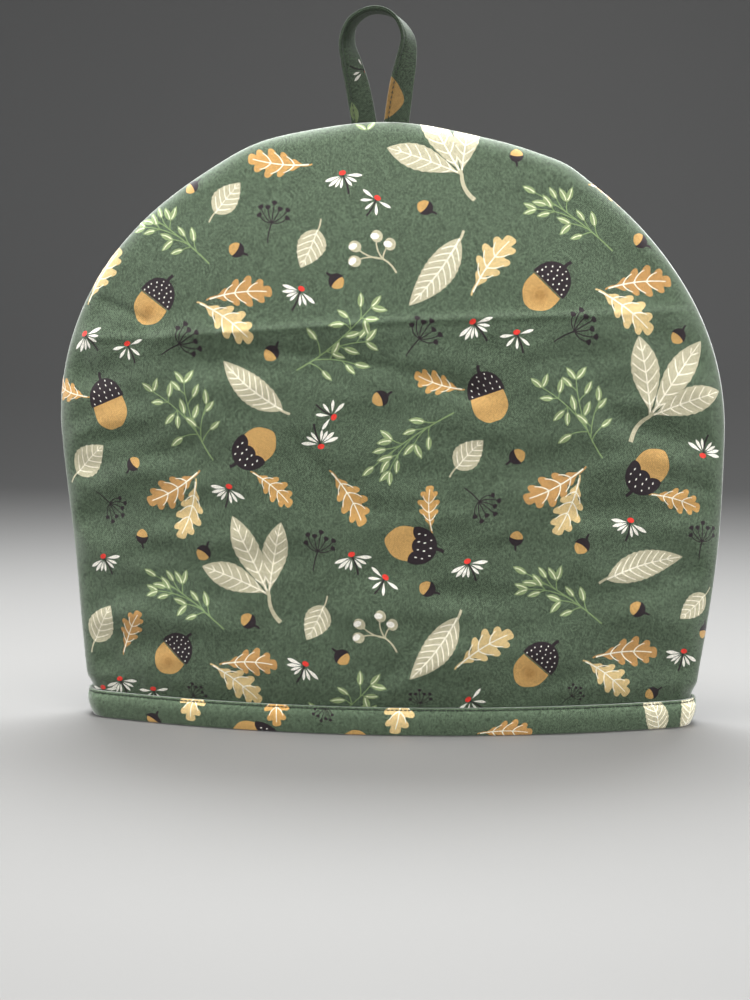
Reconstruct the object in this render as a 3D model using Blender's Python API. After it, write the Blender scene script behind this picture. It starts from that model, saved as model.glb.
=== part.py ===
"""Tea cosy: two wadded dome panels sewn along one seam, a bound hem and a hanging loop.

Metres, +Z up. The cosy stands on its hem at z = 0, its seam lies in the plane y = 0,
and its front panel faces -Y.
"""

import math
from collections import namedtuple

import bmesh
import bpy
import numpy as np

# Outline of the seam, seen from the front
WIDEST_HALF = 0.1663
WIDEST_HEIGHT = 0.150
CROWN_HEIGHT = 0.2995
HEM_HALF = 0.1535
FLANK_CURVE = 1.3

# Wadding: how far a panel bows out, and the soft roll where it turns into the seam
BOW = 0.029
HEM_PUFF_SHARE = 0.06
HEM_PUFF_HEIGHT = 0.042
HEM_PUFF_REACH = 0.028
LOFT = 0.009
LIP = 0.003
GROOVE = 0.002
WALL = 0.007
HEM_WALL = 0.004
SEAM_GAP = 0.0003

# Hem binding: one strip folded round the edge of both panels
BAND_HEIGHT = 0.014
BAND_CLOTH = 0.0015
BAND_FLOOR = 0.0018
BAND_ROLL = 0.0006
BAND_CORNER = 0.0009
FIT_GAP = 0.0003
PANEL_FOOT = BAND_FLOOR + FIT_GAP
HEM_TUCK = BAND_CLOTH + FIT_GAP
BAND_INNER_FACE = HEM_TUCK + HEM_WALL + FIT_GAP
BAND_DEPTH = BAND_INNER_FACE + BAND_CLOTH
TUCK_RISE = 0.009

# Hanging loop: a folded strip whose two ends stand side by side in the seam
STRAP_WIDTH = 0.0125
STRAP_THICKNESS = 0.0018
STRAP_STEPS = 44
STRAP_TURN_CURVE = 1.3

# Facets
COLUMNS = 36
FRONT_CREASE_ROWS = 9
FRONT_CREASE_BAND = (0.163, 0.206)

Pull = namedtuple("Pull", "x z dx dz reach")
Fold = namedtuple("Fold", "start bend end rise width")
LoopPoint = namedtuple("LoopPoint", "x z")
HemPoint = namedtuple("HemPoint", "inset z")

# Where the seam is drawn in or pushed out by its own stitching
PULLS = [
    Pull(x=-0.066, z=0.291, dx=-0.0008, dz=0.0018, reach=0.022),
    Pull(x=0.040, z=0.294, dx=-0.0005, dz=-0.0020, reach=0.028),
    Pull(x=0.088, z=0.278, dx=0.0009, dz=0.0010, reach=0.012),
    Pull(x=0.132, z=0.235, dx=-0.0014, dz=-0.0010, reach=0.055),
    Pull(x=-0.150, z=0.210, dx=-0.0014, dz=0.0008, reach=0.070),
    Pull(x=0.166, z=0.088, dx=0.0024, dz=0.0000, reach=0.050),
    Pull(x=-0.162, z=0.088, dx=0.0014, dz=0.0000, reach=0.040),
]

# The creases of the front panel: a rise above zero is a ridge, below zero a trough
FRONT_FOLDS = [
    Fold((-0.139, 0.189), (-0.031, 0.196), (0.140, 0.202), 0.0018, 0.0075),
    Fold((-0.090, 0.185), (-0.020, 0.179), (0.040, 0.167), -0.0020, 0.0085),
    Fold((-0.089, 0.176), (-0.077, 0.150), (-0.060, 0.112), 0.0012, 0.0080),
    Fold((-0.038, 0.139), (-0.031, 0.128), (-0.025, 0.119), -0.0008, 0.0065),
    Fold((-0.152, 0.208), (-0.136, 0.203), (-0.118, 0.198), -0.0016, 0.0065),
    Fold((0.100, 0.149), (0.120, 0.142), (0.141, 0.134), 0.0010, 0.0070),
    Fold((0.124, 0.133), (0.140, 0.126), (0.157, 0.119), -0.0013, 0.0065),
    Fold((-0.122, 0.078), (-0.101, 0.064), (-0.078, 0.050), 0.0010, 0.0090),
    Fold((0.016, 0.022), (0.030, 0.038), (0.048, 0.052), 0.0010, 0.0075),
    Fold((-0.147, 0.040), (-0.139, 0.030), (-0.128, 0.021), -0.0013, 0.0060),
    Fold((0.040, 0.262), (0.085, 0.252), (0.125, 0.222), -0.0012, 0.0160),
]

# The back panel hangs nearly smooth
BACK_FOLDS = [
    Fold((-0.130, 0.197), (0.000, 0.200), (0.132, 0.195), 0.0014, 0.0090),
    Fold((-0.095, 0.110), (-0.070, 0.090), (-0.055, 0.060), -0.0010, 0.0120),
    Fold((0.060, 0.135), (0.085, 0.120), (0.112, 0.112), 0.0010, 0.0120),
]

# Middle of the strap from its left end, over the top and down to its right end
LOOP_PATH = [
    LoopPoint(-0.0119, 0.2983),
    LoopPoint(-0.0136, 0.3085),
    LoopPoint(-0.0158, 0.3195),
    LoopPoint(-0.0184, 0.3295),
    LoopPoint(-0.0203, 0.3385),
    LoopPoint(-0.0182, 0.3472),
    LoopPoint(-0.0125, 0.3522),
    LoopPoint(-0.0060, 0.3538),
    LoopPoint(0.0010, 0.3520),
    LoopPoint(0.0067, 0.3468),
    LoopPoint(0.0099, 0.3390),
    LoopPoint(0.0089, 0.3295),
    LoopPoint(0.0069, 0.3195),
    LoopPoint(0.0052, 0.3085),
    LoopPoint(0.0039, 0.2983),
]

# The binding's outline cut across the hem, as insets from the hem's outermost line
HEM_SECTION = [
    HemPoint(0.0, BAND_HEIGHT),
    HemPoint(-BAND_ROLL, 0.6 * BAND_HEIGHT),
    HemPoint(-BAND_ROLL, 0.3 * BAND_HEIGHT),
    HemPoint(0.0, BAND_CORNER),
    HemPoint(BAND_CORNER, 0.0),
    HemPoint(BAND_DEPTH - BAND_CORNER, 0.0),
    HemPoint(BAND_DEPTH, BAND_CORNER),
    HemPoint(BAND_DEPTH, BAND_HEIGHT),
    HemPoint(BAND_INNER_FACE, BAND_HEIGHT),
    HemPoint(BAND_INNER_FACE, BAND_FLOOR),
    HemPoint(BAND_CLOTH, BAND_FLOOR),
    HemPoint(BAND_CLOTH, BAND_HEIGHT),
]


def smooth_step(value):
    """Rises from 0 to 1 with flat ends as value goes from 0 to 1."""
    held = np.clip(value, 0.0, 1.0)
    return held * held * (3.0 - 2.0 * held)


def level_half_width(z, inset=0.0):
    """Half the seam's width at each height: half an ellipse on tapering flanks."""
    rise = CROWN_HEIGHT - inset - WIDEST_HEIGHT
    share_up = np.clip((z - WIDEST_HEIGHT) / rise, 0.0, 1.0)
    dome = (WIDEST_HALF - inset) * np.sqrt(1.0 - share_up**2)
    share_down = np.clip((WIDEST_HEIGHT - z) / WIDEST_HEIGHT, 0.0, 1.0)
    flank = WIDEST_HALF - inset - (WIDEST_HALF - HEM_HALF) * share_down**FLANK_CURVE
    return np.where(z > WIDEST_HEIGHT, dome, flank)


def outline_share(x, z, inset=0.0):
    """0 along the middle of the cosy and 1 on its outline."""
    across = x / np.where(z > WIDEST_HEIGHT, WIDEST_HALF - inset, level_half_width(z, inset))
    above = np.maximum(z - WIDEST_HEIGHT, 0.0) / (CROWN_HEIGHT - inset - WIDEST_HEIGHT)
    return np.sqrt(across**2 + above**2)


def edge_distance(x, z, inset=0.0):
    """Distance in from the outline, exact near it."""
    share = np.maximum(outline_share(x, z, inset), 1e-6)
    wide = np.where(z > WIDEST_HEIGHT, WIDEST_HALF - inset, level_half_width(z, inset))
    high = CROWN_HEIGHT - inset - WIDEST_HEIGHT
    above = np.maximum(z - WIDEST_HEIGHT, 0.0)
    slope = np.hypot(x / wide**2, above / high**2) / share
    return np.maximum(1.0 - share, 0.0) / np.maximum(slope, 1e-6)


def half_depth(x, z, inset, lip):
    """How far a surface stands from the seam plane: the bow, plus a rolled edge."""
    puff = 1.0 + HEM_PUFF_SHARE * np.exp(-(((z - HEM_PUFF_HEIGHT) / HEM_PUFF_REACH) ** 2))
    bow = BOW * puff * np.maximum(1.0 - outline_share(x, z, inset) ** 2, 0.0)
    turn = np.clip(edge_distance(x, z, inset) / LOFT, 0.0, 1.0)
    return bow + lip + (LOFT - inset - lip) * np.sqrt(1.0 - (1.0 - turn) ** 2)


def fold_height(x, z, folds):
    """Sum of the creases, each a soft ridge or trough along its bent line."""
    total = np.zeros(np.shape(x))
    for fold in folds:
        nearest = np.full(np.shape(x), 1.0)
        for near, far in ((fold.start, fold.bend), (fold.bend, fold.end)):
            run = np.subtract(far, near)
            along = ((x - near[0]) * run[0] + (z - near[1]) * run[1]) / (run @ run)
            along = np.clip(along, 0.0, 1.0)
            gap = np.hypot(x - near[0] - along * run[0], z - near[1] - along * run[1])
            nearest = np.minimum(nearest, gap)
        total += fold.rise * np.exp(-((nearest / fold.width) ** 2))
    return total


def pulled(x, z):
    """Moves points with the pulls of the seam, which die out above the binding."""
    free = smooth_step((z - BAND_HEIGHT) / 0.03)
    shift_x = np.zeros(np.shape(x))
    shift_z = np.zeros(np.shape(x))
    for pull in PULLS:
        weight = free * np.exp(-((x - pull.x) ** 2 + (z - pull.z) ** 2) / pull.reach**2)
        shift_x += weight * pull.dx
        shift_z += weight * pull.dz
    return x + shift_x, z + shift_z


def tuck(z):
    """How far the panel is drawn in to pass inside the binding."""
    return HEM_TUCK * (1.0 - smooth_step((z - BAND_HEIGHT) / TUCK_RISE))


def wall(z):
    """Thickness of the wadded panel, pressed flat in the hem."""
    return HEM_WALL + (WALL - HEM_WALL) * smooth_step((z - BAND_HEIGHT) / (2 * TUCK_RISE))


def levels(crease_rows):
    """Heights of the flank's rows and angles of the dome's rows, foot to crown."""
    low, high = FRONT_CREASE_BAND
    foot = [PANEL_FOOT, BAND_HEIGHT, BAND_HEIGHT + 0.4 * TUCK_RISE, BAND_HEIGHT + TUCK_RISE]
    flank = np.linspace(0.033, WIDEST_HEIGHT, 10 if crease_rows else 7)
    rise = CROWN_HEIGHT - WIDEST_HEIGHT
    top_angles = np.linspace(math.asin((high - WIDEST_HEIGHT) / rise), 0.5 * math.pi, 13)
    if crease_rows:
        crease_heights = np.linspace(low, high, crease_rows, endpoint=False)
        dome = np.concatenate([np.arcsin((crease_heights - WIDEST_HEIGHT) / rise), top_angles])
    else:
        dome = np.linspace(0.0, 0.5 * math.pi, 17)[1:]
    return np.concatenate([foot, flank]), dome


def nested_level(flank, dome, columns, inset):
    """Points of a grid on the outline drawn in by inset(z): x and z, one row a level."""
    flank_inset = inset(flank)
    flank_x = np.outer(level_half_width(flank, flank_inset), columns)
    flank_z = np.outer(flank, np.ones(len(columns)))
    dome_inset = inset(np.full(len(dome), WIDEST_HEIGHT))
    dome_x = np.outer((WIDEST_HALF - dome_inset) * np.cos(dome), columns)
    dome_height = WIDEST_HEIGHT + (CROWN_HEIGHT - dome_inset - WIDEST_HEIGHT) * np.sin(dome)
    dome_z = np.outer(dome_height, np.ones(len(columns)))
    return np.vstack([flank_x, dome_x]), np.vstack([flank_z, dome_z])


def lip_width(z):
    """Half the seam groove's width, which closes up inside the binding."""
    return LIP * smooth_step((z - BAND_HEIGHT) / TUCK_RISE)


def groove_inset(z):
    """How far the bottom of the seam groove lies inside the panel's outermost line."""
    return tuck(z) + GROOVE * smooth_step((z - BAND_HEIGHT) / TUCK_RISE)


def cavity_inset(z):
    """How far the hollow lies inside the cosy's outermost line."""
    return tuck(z) + wall(z)


def column_shares():
    """Places across the panel from -1 to 1, close together at the rolled edges."""
    return np.sin(np.linspace(-0.5 * math.pi, 0.5 * math.pi, COLUMNS + 1))


def outer_surface(flank, dome, folds):
    """The panel's outside as a grid of points with y as depth from the seam plane."""
    x, z = nested_level(flank, dome, column_shares(), tuck)
    depth = half_depth(x, z, tuck(z), lip_width(z))
    depth += fold_height(x, z, folds) * smooth_step(edge_distance(x, z) / 0.012)
    depth = np.maximum(depth, 0.5 * SEAM_GAP)
    x, z = pulled(x, z)
    return np.stack([x, depth, z], axis=-1)


def inner_surface(flank, dome):
    """The panel's inside: a flat seam margin at each side with the hollow between."""
    rim_x, rim_z = nested_level(flank, dome, np.array([-1.0, 1.0]), groove_inset)
    x, z = nested_level(flank, dome, column_shares(), cavity_inset)
    depth = half_depth(x, z, cavity_inset(z), 0.0)
    x = np.hstack([rim_x[:, :1], x, rim_x[:, 1:]])
    z = np.hstack([rim_z[:, :1], z, rim_z[:, 1:]])
    depth = np.pad(depth, ((0, 0), (1, 1)))
    x, z = pulled(x, z)
    return np.stack([x, np.maximum(depth, 0.5 * SEAM_GAP), z], axis=-1)


def grid_faces(rows, columns, first):
    """Quads of a grid of points numbered from first, row by row."""
    start = first + np.add.outer(np.arange(rows - 1) * columns, np.arange(columns - 1)).ravel()
    return np.stack([start, start + 1, start + columns + 1, start + columns], axis=1)


def strip_faces(one, other):
    """Quads between two rows of the same number of points."""
    return np.stack([one[:-1], other[:-1], other[1:], one[1:]], axis=1)


def solid_object(name, points, faces, material, collection):
    """A closed mesh from points and faces, with its doubles merged and its faces outwards."""
    mesh = bpy.data.meshes.new(name)
    mesh.from_pydata(points.tolist(), [], faces)
    work = bmesh.new()
    work.from_mesh(mesh)
    bmesh.ops.remove_doubles(work, verts=work.verts, dist=2e-6)
    bmesh.ops.dissolve_degenerate(work, edges=work.edges, dist=1e-7)
    bmesh.ops.triangulate(work, faces=work.faces)
    bmesh.ops.recalc_face_normals(work, faces=work.faces)
    work.to_mesh(mesh)
    work.free()
    mesh.materials.append(material)
    mesh.shade_smooth()
    mesh.set_sharp_from_angle(angle=math.radians(50))
    made = bpy.data.objects.new(name, mesh)
    collection.objects.link(made)
    return made


def panel(name, side, folds, crease_rows, material, collection):
    """One wadded panel: an outside and an inside surface, closed at the hem and the seam."""
    flank, dome = levels(crease_rows)
    outer = outer_surface(flank, dome, folds)
    inner = inner_surface(flank, dome)
    rows, outer_columns = outer.shape[:2]
    inner_columns = inner.shape[1]
    points = np.concatenate([outer.reshape(-1, 3), inner.reshape(-1, 3)])
    points[:, 1] *= side
    inner_first = rows * outer_columns
    outer_left = np.arange(rows) * outer_columns
    inner_left = inner_first + np.arange(rows) * inner_columns
    faces = [
        grid_faces(rows, outer_columns, 0),
        grid_faces(rows, inner_columns, inner_first)[:, ::-1],
        strip_faces(outer_left, inner_left),
        strip_faces(inner_left + inner_columns - 1, outer_left + outer_columns - 1),
    ]
    quads = np.concatenate(faces).tolist()
    foot = inner_first + 1 + np.arange(outer_columns)
    quads += strip_faces(foot, np.arange(outer_columns)).tolist()
    return solid_object(name, points, quads, material, collection)


def hem_line(turn, inset, z):
    """A ring of the hem at one height, drawn in by inset, at each turn round the cosy."""
    x = level_half_width(z, inset) * np.cos(turn)
    depth = half_depth(x, np.full(len(turn), z), inset, 0.0)
    on_end = np.abs(np.sin(turn)) < 1e-9
    return x, np.where(on_end, 0.0, -np.sign(np.sin(turn)) * depth)


def hem_binding(material, collection):
    """The folded strip: its section carried once round the hem."""
    turn = np.linspace(0.0, 2.0 * math.pi, 2 * COLUMNS, endpoint=False)
    rings = []
    for point in HEM_SECTION:
        x, y = hem_line(turn, point.inset, point.z)
        rings.append(np.stack([x, y, np.full(len(turn), point.z)], axis=-1))
    points = np.stack(rings, axis=1)
    count, size = points.shape[:2]
    index = np.arange(count * size).reshape(count, size)
    ahead = np.roll(index, -1, axis=0)
    beside = np.roll(index, -1, axis=1)
    across = np.roll(beside, -1, axis=0)
    quads = np.stack([index, ahead, across, beside], axis=-1).reshape(-1, 4)
    return solid_object("hem_binding", points.reshape(-1, 3), quads.tolist(), material, collection)


def smooth_path(points, steps):
    """Evenly numbered points on a Catmull-Rom curve through the given ones."""
    known = np.array(points)
    padded = np.vstack([2 * known[0] - known[1], known, 2 * known[-1] - known[-2]])
    place = np.linspace(0.0, len(known) - 1.0, steps + 1)
    span = np.minimum(place.astype(int), len(known) - 2)
    t = (place - span)[:, None]
    a, b, c, d = (padded[span + k] for k in range(4))
    square = (2 * a - 5 * b + 4 * c - d) * t**2
    cube = (3 * b - a - 3 * c + d) * t**3
    return 0.5 * (2 * b + (c - a) * t + square + cube)


def strap_section():
    """Half-round edged section of the strap: across its width and through its thickness."""
    wide, thick = 0.5 * STRAP_WIDTH, 0.5 * STRAP_THICKNESS
    flat = wide - thick
    upper = [(wide, 0), (flat, thick), (0, thick), (-flat, thick)]
    lower = [(-wide, 0), (-flat, -thick), (0, -thick), (flat, -thick)]
    return np.array(upper + lower)


def hanging_loop(material, collection):
    """The strap carried over its path, turning half round so that it lies flat in the seam."""
    path = smooth_path(LOOP_PATH, STRAP_STEPS)
    run = np.gradient(path, axis=0)
    run /= np.linalg.norm(run, axis=1, keepdims=True)
    middle = np.argmax(path[:, 1])
    climb = np.clip((path[:, 1] - path[0, 1]) / (path[middle, 1] - path[0, 1]), 0.0, 1.0)
    turned = 0.5 * math.pi * climb**STRAP_TURN_CURVE
    twist = np.where(np.arange(len(path)) <= middle, turned, math.pi - turned)
    beside = np.stack([run[:, 1], np.zeros(len(path)), -run[:, 0]], axis=-1)
    deep = np.array([0.0, 1.0, 0.0])
    wide_way = np.cos(twist)[:, None] * beside + np.sin(twist)[:, None] * deep
    ahead = np.stack([run[:, 0], np.zeros(len(path)), run[:, 1]], axis=-1)
    thick_way = np.cross(ahead, wide_way)
    centre = np.stack([path[:, 0], np.zeros(len(path)), path[:, 1]], axis=-1)
    section = strap_section()
    points = (
        centre[:, None, :]
        + section[None, :, [0]] * wide_way[:, None, :]
        + section[None, :, [1]] * thick_way[:, None, :]
    )
    count, size = points.shape[:2]
    index = np.arange(count * size).reshape(count, size)
    beside_index = np.roll(index, -1, axis=1)
    sides = [index[:-1], index[1:], beside_index[1:], beside_index[:-1]]
    quads = np.stack(sides, axis=-1).reshape(-1, 4).tolist()
    quads.append(index[0].tolist())
    quads.append(index[-1][::-1].tolist())
    return solid_object("hanging_loop", points.reshape(-1, 3), quads, material, collection)


def cloth_material(name, colour, roughness):
    """A plain cloth finish."""
    material = bpy.data.materials.new(name)
    material.use_nodes = True
    shader = material.node_tree.nodes["Principled BSDF"]
    shader.inputs["Base Color"].default_value = (*colour, 1.0)
    shader.inputs["Roughness"].default_value = roughness
    shader.inputs["Metallic"].default_value = 0.0
    return material


def clear_scene():
    """Removes the objects that the scene opens with."""
    for old in list(bpy.data.objects):
        bpy.data.objects.remove(old)


def main():
    """Builds the cosy's four pieces in one collection."""
    clear_scene()
    collection = bpy.data.collections.new("Tea cosy")
    bpy.context.scene.collection.children.link(collection)
    front_cloth = cloth_material("front_cloth", (0.075, 0.125, 0.080), 0.85)
    back_cloth = cloth_material("back_cloth", (0.075, 0.125, 0.080), 0.85)
    band_cloth = cloth_material("binding_cloth", (0.085, 0.140, 0.090), 0.85)
    strap_cloth = cloth_material("loop_cloth", (0.060, 0.105, 0.070), 0.85)
    panel("front_panel", -1.0, FRONT_FOLDS, FRONT_CREASE_ROWS, front_cloth, collection)
    panel("back_panel", 1.0, BACK_FOLDS, 0, back_cloth, collection)
    hem_binding(band_cloth, collection)
    hanging_loop(strap_cloth, collection)


main()
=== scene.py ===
"""Looks of the tea cosy: printed cotton panels, a bound hem, a hanging loop and their stitching.

Metres, +Z up, front towards -Y. Flat cloth is laid out in millimetres before it is shaped.
"""

import logging
import math
from collections.abc import Callable
from dataclasses import dataclass, field
from enum import Enum

import bpy
import numpy as np
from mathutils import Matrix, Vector
from mathutils.geometry import delaunay_2d_cdt


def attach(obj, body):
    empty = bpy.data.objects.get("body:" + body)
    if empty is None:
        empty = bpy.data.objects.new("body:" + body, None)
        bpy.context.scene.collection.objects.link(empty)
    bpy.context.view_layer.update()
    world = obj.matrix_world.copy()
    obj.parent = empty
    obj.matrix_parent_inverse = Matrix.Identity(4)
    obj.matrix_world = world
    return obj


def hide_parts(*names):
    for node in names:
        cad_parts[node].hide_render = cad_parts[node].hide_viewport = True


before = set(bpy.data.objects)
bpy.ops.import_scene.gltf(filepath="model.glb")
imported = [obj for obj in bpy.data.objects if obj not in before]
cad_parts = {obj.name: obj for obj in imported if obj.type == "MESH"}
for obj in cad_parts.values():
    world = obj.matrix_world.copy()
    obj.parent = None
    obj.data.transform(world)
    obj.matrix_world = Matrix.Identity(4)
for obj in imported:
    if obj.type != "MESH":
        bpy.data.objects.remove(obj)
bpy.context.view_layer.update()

log = logging.getLogger("tea_cosy")
Array = np.ndarray

# Angles in radians, the weld in metres and the cut's tolerance in millimetres.
MM = 0.001
TURN = math.tau
QUARTER = 0.25 * math.tau
WELD = 2e-6
CUT_INSIDE = 1
CUT_TOLERANCE = 1e-4


def linear(red: int, green: int, blue: int) -> tuple[float, float, float, float]:
    """Turns a screen's colour into the light values that a shader mixes.

    Args:
        red, green, blue: the colour from 0 to 255.

    Returns:
        The colour as linear red, green and blue with a full alpha.
    """
    screen = np.array([red, green, blue]) / 255.0
    light = np.where(screen > 0.04045, ((screen + 0.055) / 1.055) ** 2.4, screen / 12.92)
    return (*light.tolist(), 1.0)


class Ink(Enum):
    """The inks of the print, and the bare dyed cloth."""

    GROUND = linear(79, 94, 75)
    DARK = linear(44, 36, 40)
    RED = linear(228, 62, 52)
    WHITE = linear(244, 240, 230)
    NUT = linear(194, 154, 94)
    NUT_SHADE = linear(188, 147, 88)
    NUT_HEART = linear(176, 135, 78)
    GOLD = linear(196, 152, 90)
    TAN = linear(188, 144, 88)
    PALE = linear(212, 186, 132)
    BEIGE = linear(188, 182, 154)
    VEIN = linear(240, 234, 214)
    SPRIG = linear(140, 158, 112)
    STEM = linear(124, 146, 100)
    STREAK = linear(228, 232, 198)


INK_HEATHER = 0.35
Shape = tuple[Ink, Array]


def smooth_step(value: Array) -> Array:
    """Rises from 0 to 1 with flat ends as value goes from 0 to 1: 3t^2 - 2t^3."""
    held = np.clip(value, 0.0, 1.0)
    return held * held * (3.0 - 2.0 * held)


def smooth_path(points: Array, steps: int) -> Array:
    """Places points on a Catmull-Rom curve: a cubic in each span, through all the given points.

    Args:
        points: the points to pass through, one a row.
        steps: how many equal steps the whole curve is cut into.

    Returns:
        steps + 1 points, one a row.
    """
    known = np.asarray(points, float)
    padded = np.vstack([2 * known[0] - known[1], known, 2 * known[-1] - known[-2]])
    place = np.linspace(0.0, len(known) - 1.0, steps + 1)
    span = np.minimum(place.astype(int), len(known) - 2)
    t = (place - span)[:, None]
    a, b, c, d = (padded[span + k] for k in range(4))
    square = (2 * a - 5 * b + 4 * c - d) * t**2
    cube = (3 * b - a - 3 * c + d) * t**3
    return 0.5 * (2 * b + (c - a) * t + square + cube)


def columns(*parts: Array) -> Array:
    """Sets arrays side by side, as the columns of one."""
    return np.stack(parts, axis=-1)


def run_length(points: Array) -> Array:
    """The length along a line at each of its points: the running sum of its steps."""
    return np.pad(np.cumsum(np.linalg.norm(np.diff(points, axis=0), axis=1)), (1, 0))


def read_rows(at: Array, along: Array, rows: Array) -> Array:
    """Reads points or directions at lengths along a line, straight between its known rows."""
    return np.stack([np.interp(at, along, rows[:, k]) for k in range(rows.shape[1])], axis=-1)


def unit(vectors: Array) -> Array:
    """Scales each row to a length of one."""
    return vectors / np.maximum(np.linalg.norm(vectors, axis=1, keepdims=True), 1e-12)


def closed_outline(along: Array, half: Array) -> Array:
    """Joins the lower and upper sides of a shape that is even about its length.

    Args:
        along: places along its length.
        half: half its width at each.

    Returns:
        Its outline, anticlockwise.
    """
    lower = columns(along, -half)
    upper = columns(along, half)[::-1]
    return np.vstack([lower, upper])


def stroke(points: list | Array, width: float, end_share: float = 0.6) -> Array:
    """A brush line: the path with half its width to each side, narrowing to its end.

    Args:
        points: the points of the line's middle.
        width: its width at the start.
        end_share: the share of that width that is left at the end.

    Returns:
        The line's outline, anticlockwise.
    """
    path = np.asarray(points, float)
    run = unit(np.gradient(path, axis=0))
    beside = columns(-run[:, 1], run[:, 0])
    half = 0.5 * width * np.linspace(1.0, end_share, len(path))[:, None]
    return np.vstack([path - half * beside, (path + half * beside)[::-1]])


def arc(start: tuple, end: tuple, bend: float, steps: int = 6) -> Array:
    """A parabola from start to end: the chord plus four times bend times t times one less t.

    Args:
        start, end: its first and last point.
        bend: how far its middle stands off the chord, as a share of the chord's length.
        steps: how many equal steps it is cut into.

    Returns:
        steps + 1 points, one a row.
    """
    first, last = np.array(start, float), np.array(end, float)
    t = np.linspace(0.0, 1.0, steps + 1)[:, None]
    chord = last - first
    off = np.array([-chord[1], chord[0]])
    return first + t * chord + 4.0 * bend * t * (1.0 - t) * off


def placed(shape: Array, x: float, y: float, turn: float, size: float = 1.0) -> Array:
    """Scales a shape, turns it by degrees and moves it to a place.

    Args:
        shape: its points, one a row.
        x, y: where its origin goes.
        turn: the turn anticlockwise in degrees.
        size: the scale.

    Returns:
        The moved points.
    """
    angle = math.radians(turn)
    cos, sin = math.cos(angle), math.sin(angle)
    matrix = np.array([[cos, sin], [-sin, cos]])
    return size * shape @ matrix + np.array([x, y])


def oval(x: float, y: float, long: float, wide: float, turn: float = 0.0, steps: int = 14) -> Array:
    """An ellipse about (x, y) with the given half length and half width."""
    angle = np.linspace(0.0, TURN, steps, endpoint=False)
    return placed(columns(long * np.cos(angle), wide * np.sin(angle)), x, y, turn)


def leaf_blade(start: float, end: float, half: float, belly: float = 0.85,
               steps: int = 22) -> Array:
    """A pointed oval: half width is the sine of pi times the place along it, raised to a power."""
    t = 0.5 - 0.5 * np.cos(np.linspace(0.0, math.pi, steps))
    return closed_outline(start + (end - start) * t, half * np.sin(math.pi * t**belly) ** 0.85)


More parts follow.
